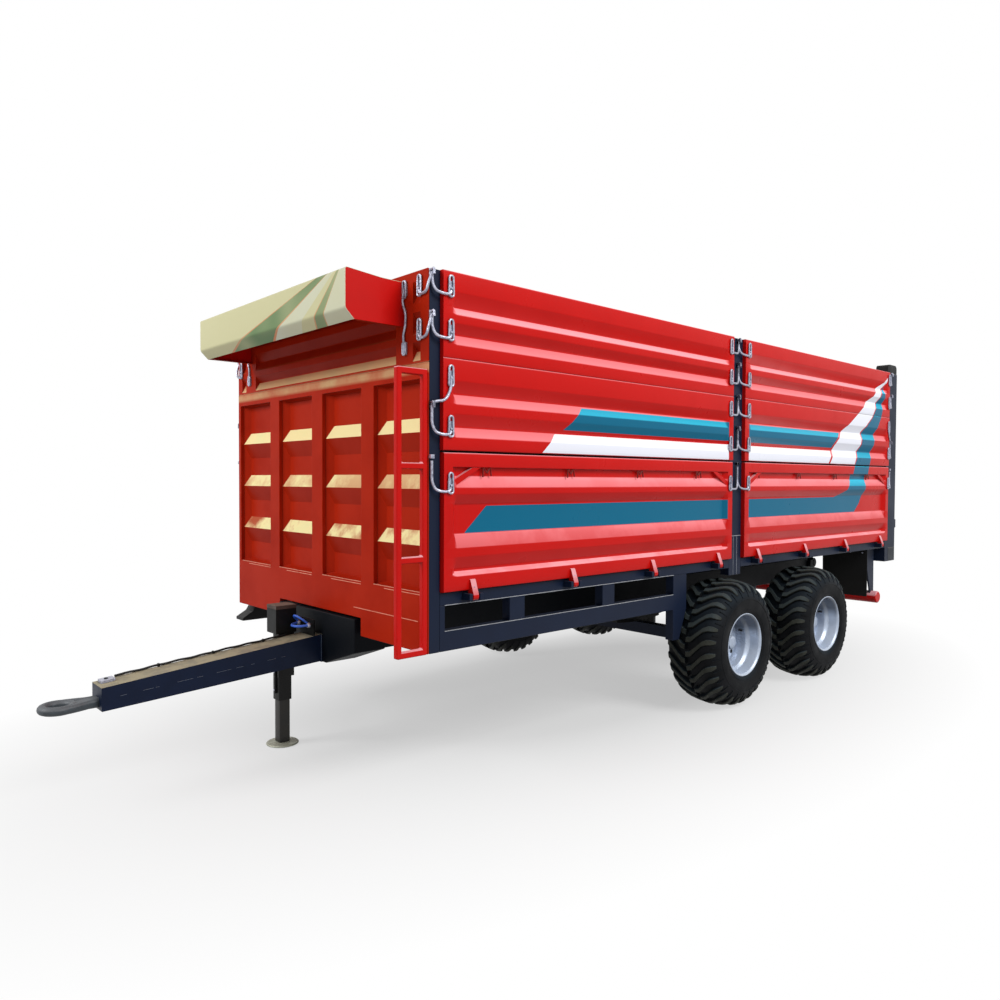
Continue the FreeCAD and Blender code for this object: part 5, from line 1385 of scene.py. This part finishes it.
# --- Rear ---
@dataclass(frozen=True)
class RearEnd:
    """Tailgate, underrun bar, mud flaps, lamps and chock."""

    flap: float = 0.415
    lamp: float = 0.23
    lenses: tuple[Point, ...] = ((.003, .071), (.081, .149), (.159, .227))

    def build(self) -> None:
        """Dress the gate and make the small pieces of the rear."""
        dress(RED, .004, "tailgate")
        dress(BLACK, .003, "wheel_chock")
        first, last = box("underrun_bar")
        r = (last[2] - first[2]) / 2
        bar = Piece("underrun_tube", "bed", RED)
        bar.add(lathe([(first[0], r * .86), (first[0] + .006, r), (last[0] - .006, r),
                       (last[0], r * .86)], X, 48, (first + last) * (0, .5, .5)))
        bar.build(0.0, ["underrun_bar"])
        (_, y, bottom), (x, back, top) = box("mud_flaps")
        flaps = Piece("rubber_mud_flaps", "bed", FLAP, ZINC)
        drop = np.linspace(0, 1, 14)
        line = np.stack([y + .001 + .0035 * np.sin(drop * 3.2) ** 2,
                         top - drop * (top - bottom)], 1)
        flaps.add(prism([*line, *(line[::-1] + (.0055, 0))], X, x - self.flap, x), both=True)
        spots = [(x - inset, back - .0125, top - .03) for inset in (.04, .15, .26, .375)]
        flaps.add(bolt_heads(spots, Y, -1, .008), 1, both=True)
        flaps.build(0.0, ["mud_flaps"])
        (_, y, bottom), (x, back, top) = box("tail_lamps")
        lamps = Piece("tail_lamp_lenses", "bed", LAMP, BLACK)
        for near, far in self.lenses:
            face = rounded(rectangle(x - near, bottom + .006, x - far, top - .006), .01, 3)
            lamps.add(prism(face, Y, y + .01, back), both=True)
        lamps.add(block((x - self.lamp, y, bottom), (x, y + .014, top)), 1, both=True)
        lamps.build(.003, ["tail_lamps"])


# --- Studio ---
@dataclass(frozen=True)
class Studio:
    """Camera, pale floor and soft light."""

    eye: tuple[float, float, float] = (4.112, -4.3545, 1.550)
    yaw: float = 0.8352
    pitch: float = -0.0254
    roll: float = 0.004
    lens: float = 28.29
    sensor: float = 36.0
    floor_half: float = 60.0
    sky: float = 0.45

    def camera(self) -> None:
        """Camera turned by yaw about Z, pitch about its own X and roll about its own axis."""
        data = bpy.data.cameras.new("camera")
        data.lens, data.sensor_width = self.lens, self.sensor
        data.clip_start, data.clip_end = .05, 200
        made = bpy.context.scene.camera = placed("camera", data)
        turn = Matrix.Rotation
        made.matrix_world = (Matrix.Translation(self.eye) @ turn(self.yaw, 4, "Z")
                             @ turn(math.pi / 2 + self.pitch, 4, "X") @ turn(self.roll, 4, "Z"))

    def seen(self, tree: Tree) -> Feed:
        """1 for rays from the camera, a mirror or a glass, else 0."""
        rays = node(tree, "LightPath").node.outputs
        return reduce(lambda one, two: node(tree, "Math", (one, two), operation="MAXIMUM"),
                      [rays[f"Is {kind} Ray"] for kind in ("Camera", "Glossy", "Transmission")])

    def floor(self) -> None:
        """Wide pale floor: shaded near the object, white paper away from it.

        The share of white grows with the distance from the trailer's long axis, as the
        length of the point's (x, y / 2) less a reach, over a fade.
        """
        mesh = bpy.data.meshes.new("floor")
        far = self.floor_half
        mesh.from_pydata([(-far, -far, 0), (far, -far, 0), (far, far, 0), (-far, far, 0)], [],
                         [(0, 1, 2, 3)])
        material = bpy.data.materials.new("pale_floor")
        material.use_nodes = True
        tree = material.node_tree
        shader = tree.nodes["Principled BSDF"]
        for name, value in (("Base Color", linear("#C4C4C4")), ("Roughness", .9),
                            ("Specular IOR Level", 0.0)):
            shader.inputs[name].default_value = value
        place = node(tree, "TexCoord", out="Object")
        flat = node(tree, "VectorMath", (place, (1.0, .5, 0.0)), operation="MULTIPLY")
        away = node(tree, "VectorMath", [flat], "Value", operation="LENGTH")
        share = product(tree, node(tree, "MapRange", (away, .9, 2.5, .5)), self.seen(tree))
        paper = node(tree, "Emission", ((1, 1, 1, 1), 1.0))
        mixed = node(tree, "MixShader", (share, shader.outputs[0], paper))
        tree.links.new(mixed, tree.nodes["Material Output"].inputs[0])
        mesh.materials.append(material)
        placed("floor", mesh)

    def lamp(self, name: str, place: Sequence[float], target: Sequence[float], size: float,
             power: float) -> None:
        """Add a square soft lamp that faces a target.

        Args:
            name: its name.
            place: where it stands.
            target: what it faces.
            size: its side in metres.
            power: its power in watts.
        """
        data = bpy.data.lights.new(name, "AREA")
        data.size, data.energy = size, power
        made = placed(name, data)
        made.location, made.rotation_mode = place, "QUATERNION"
        made.rotation_quaternion = (Vector(place) - Vector(target)).to_track_quat("Z", "Y")

    def world(self) -> None:
        """Soft sky: dimmer as light than as the white that the camera sees."""
        world = bpy.context.scene.world = bpy.data.worlds.new("soft_sky")
        world.use_nodes = True
        tree = world.node_tree
        back = tree.nodes["Background"]
        back.inputs[0].default_value = (1, 1, 1, 1)
        strength = node(tree, "MapRange", {0: self.seen(tree), 3: self.sky, 4: 1.0})
        tree.links.new(strength, back.inputs[1])

    def build(self) -> None:
        """Set up the scene around the object."""
        self.camera()
        self.floor()
        self.world()
        self.lamp("key", (9.5, 1.0, 9.0), (0, 0, 1.2), 5.0, 950)
        self.lamp("front", (-3.0, -10.0, 6.5), (0, -2, 1.3), 4.0, 540)
        bpy.context.scene.view_settings.view_transform = "Standard"


def main() -> None:
    """Build every sub-assembly in order."""
    logging.basicConfig(level=logging.INFO, format="%(message)s")
    for assembly in (Studio(), SideBoards(), Toggles(), Pillars(), FrontEnd(), Underframe(),
                     DrawbarEnd(), Wheel(), RearEnd()):
        assembly.build()


if __name__ == "__main__":
    main()
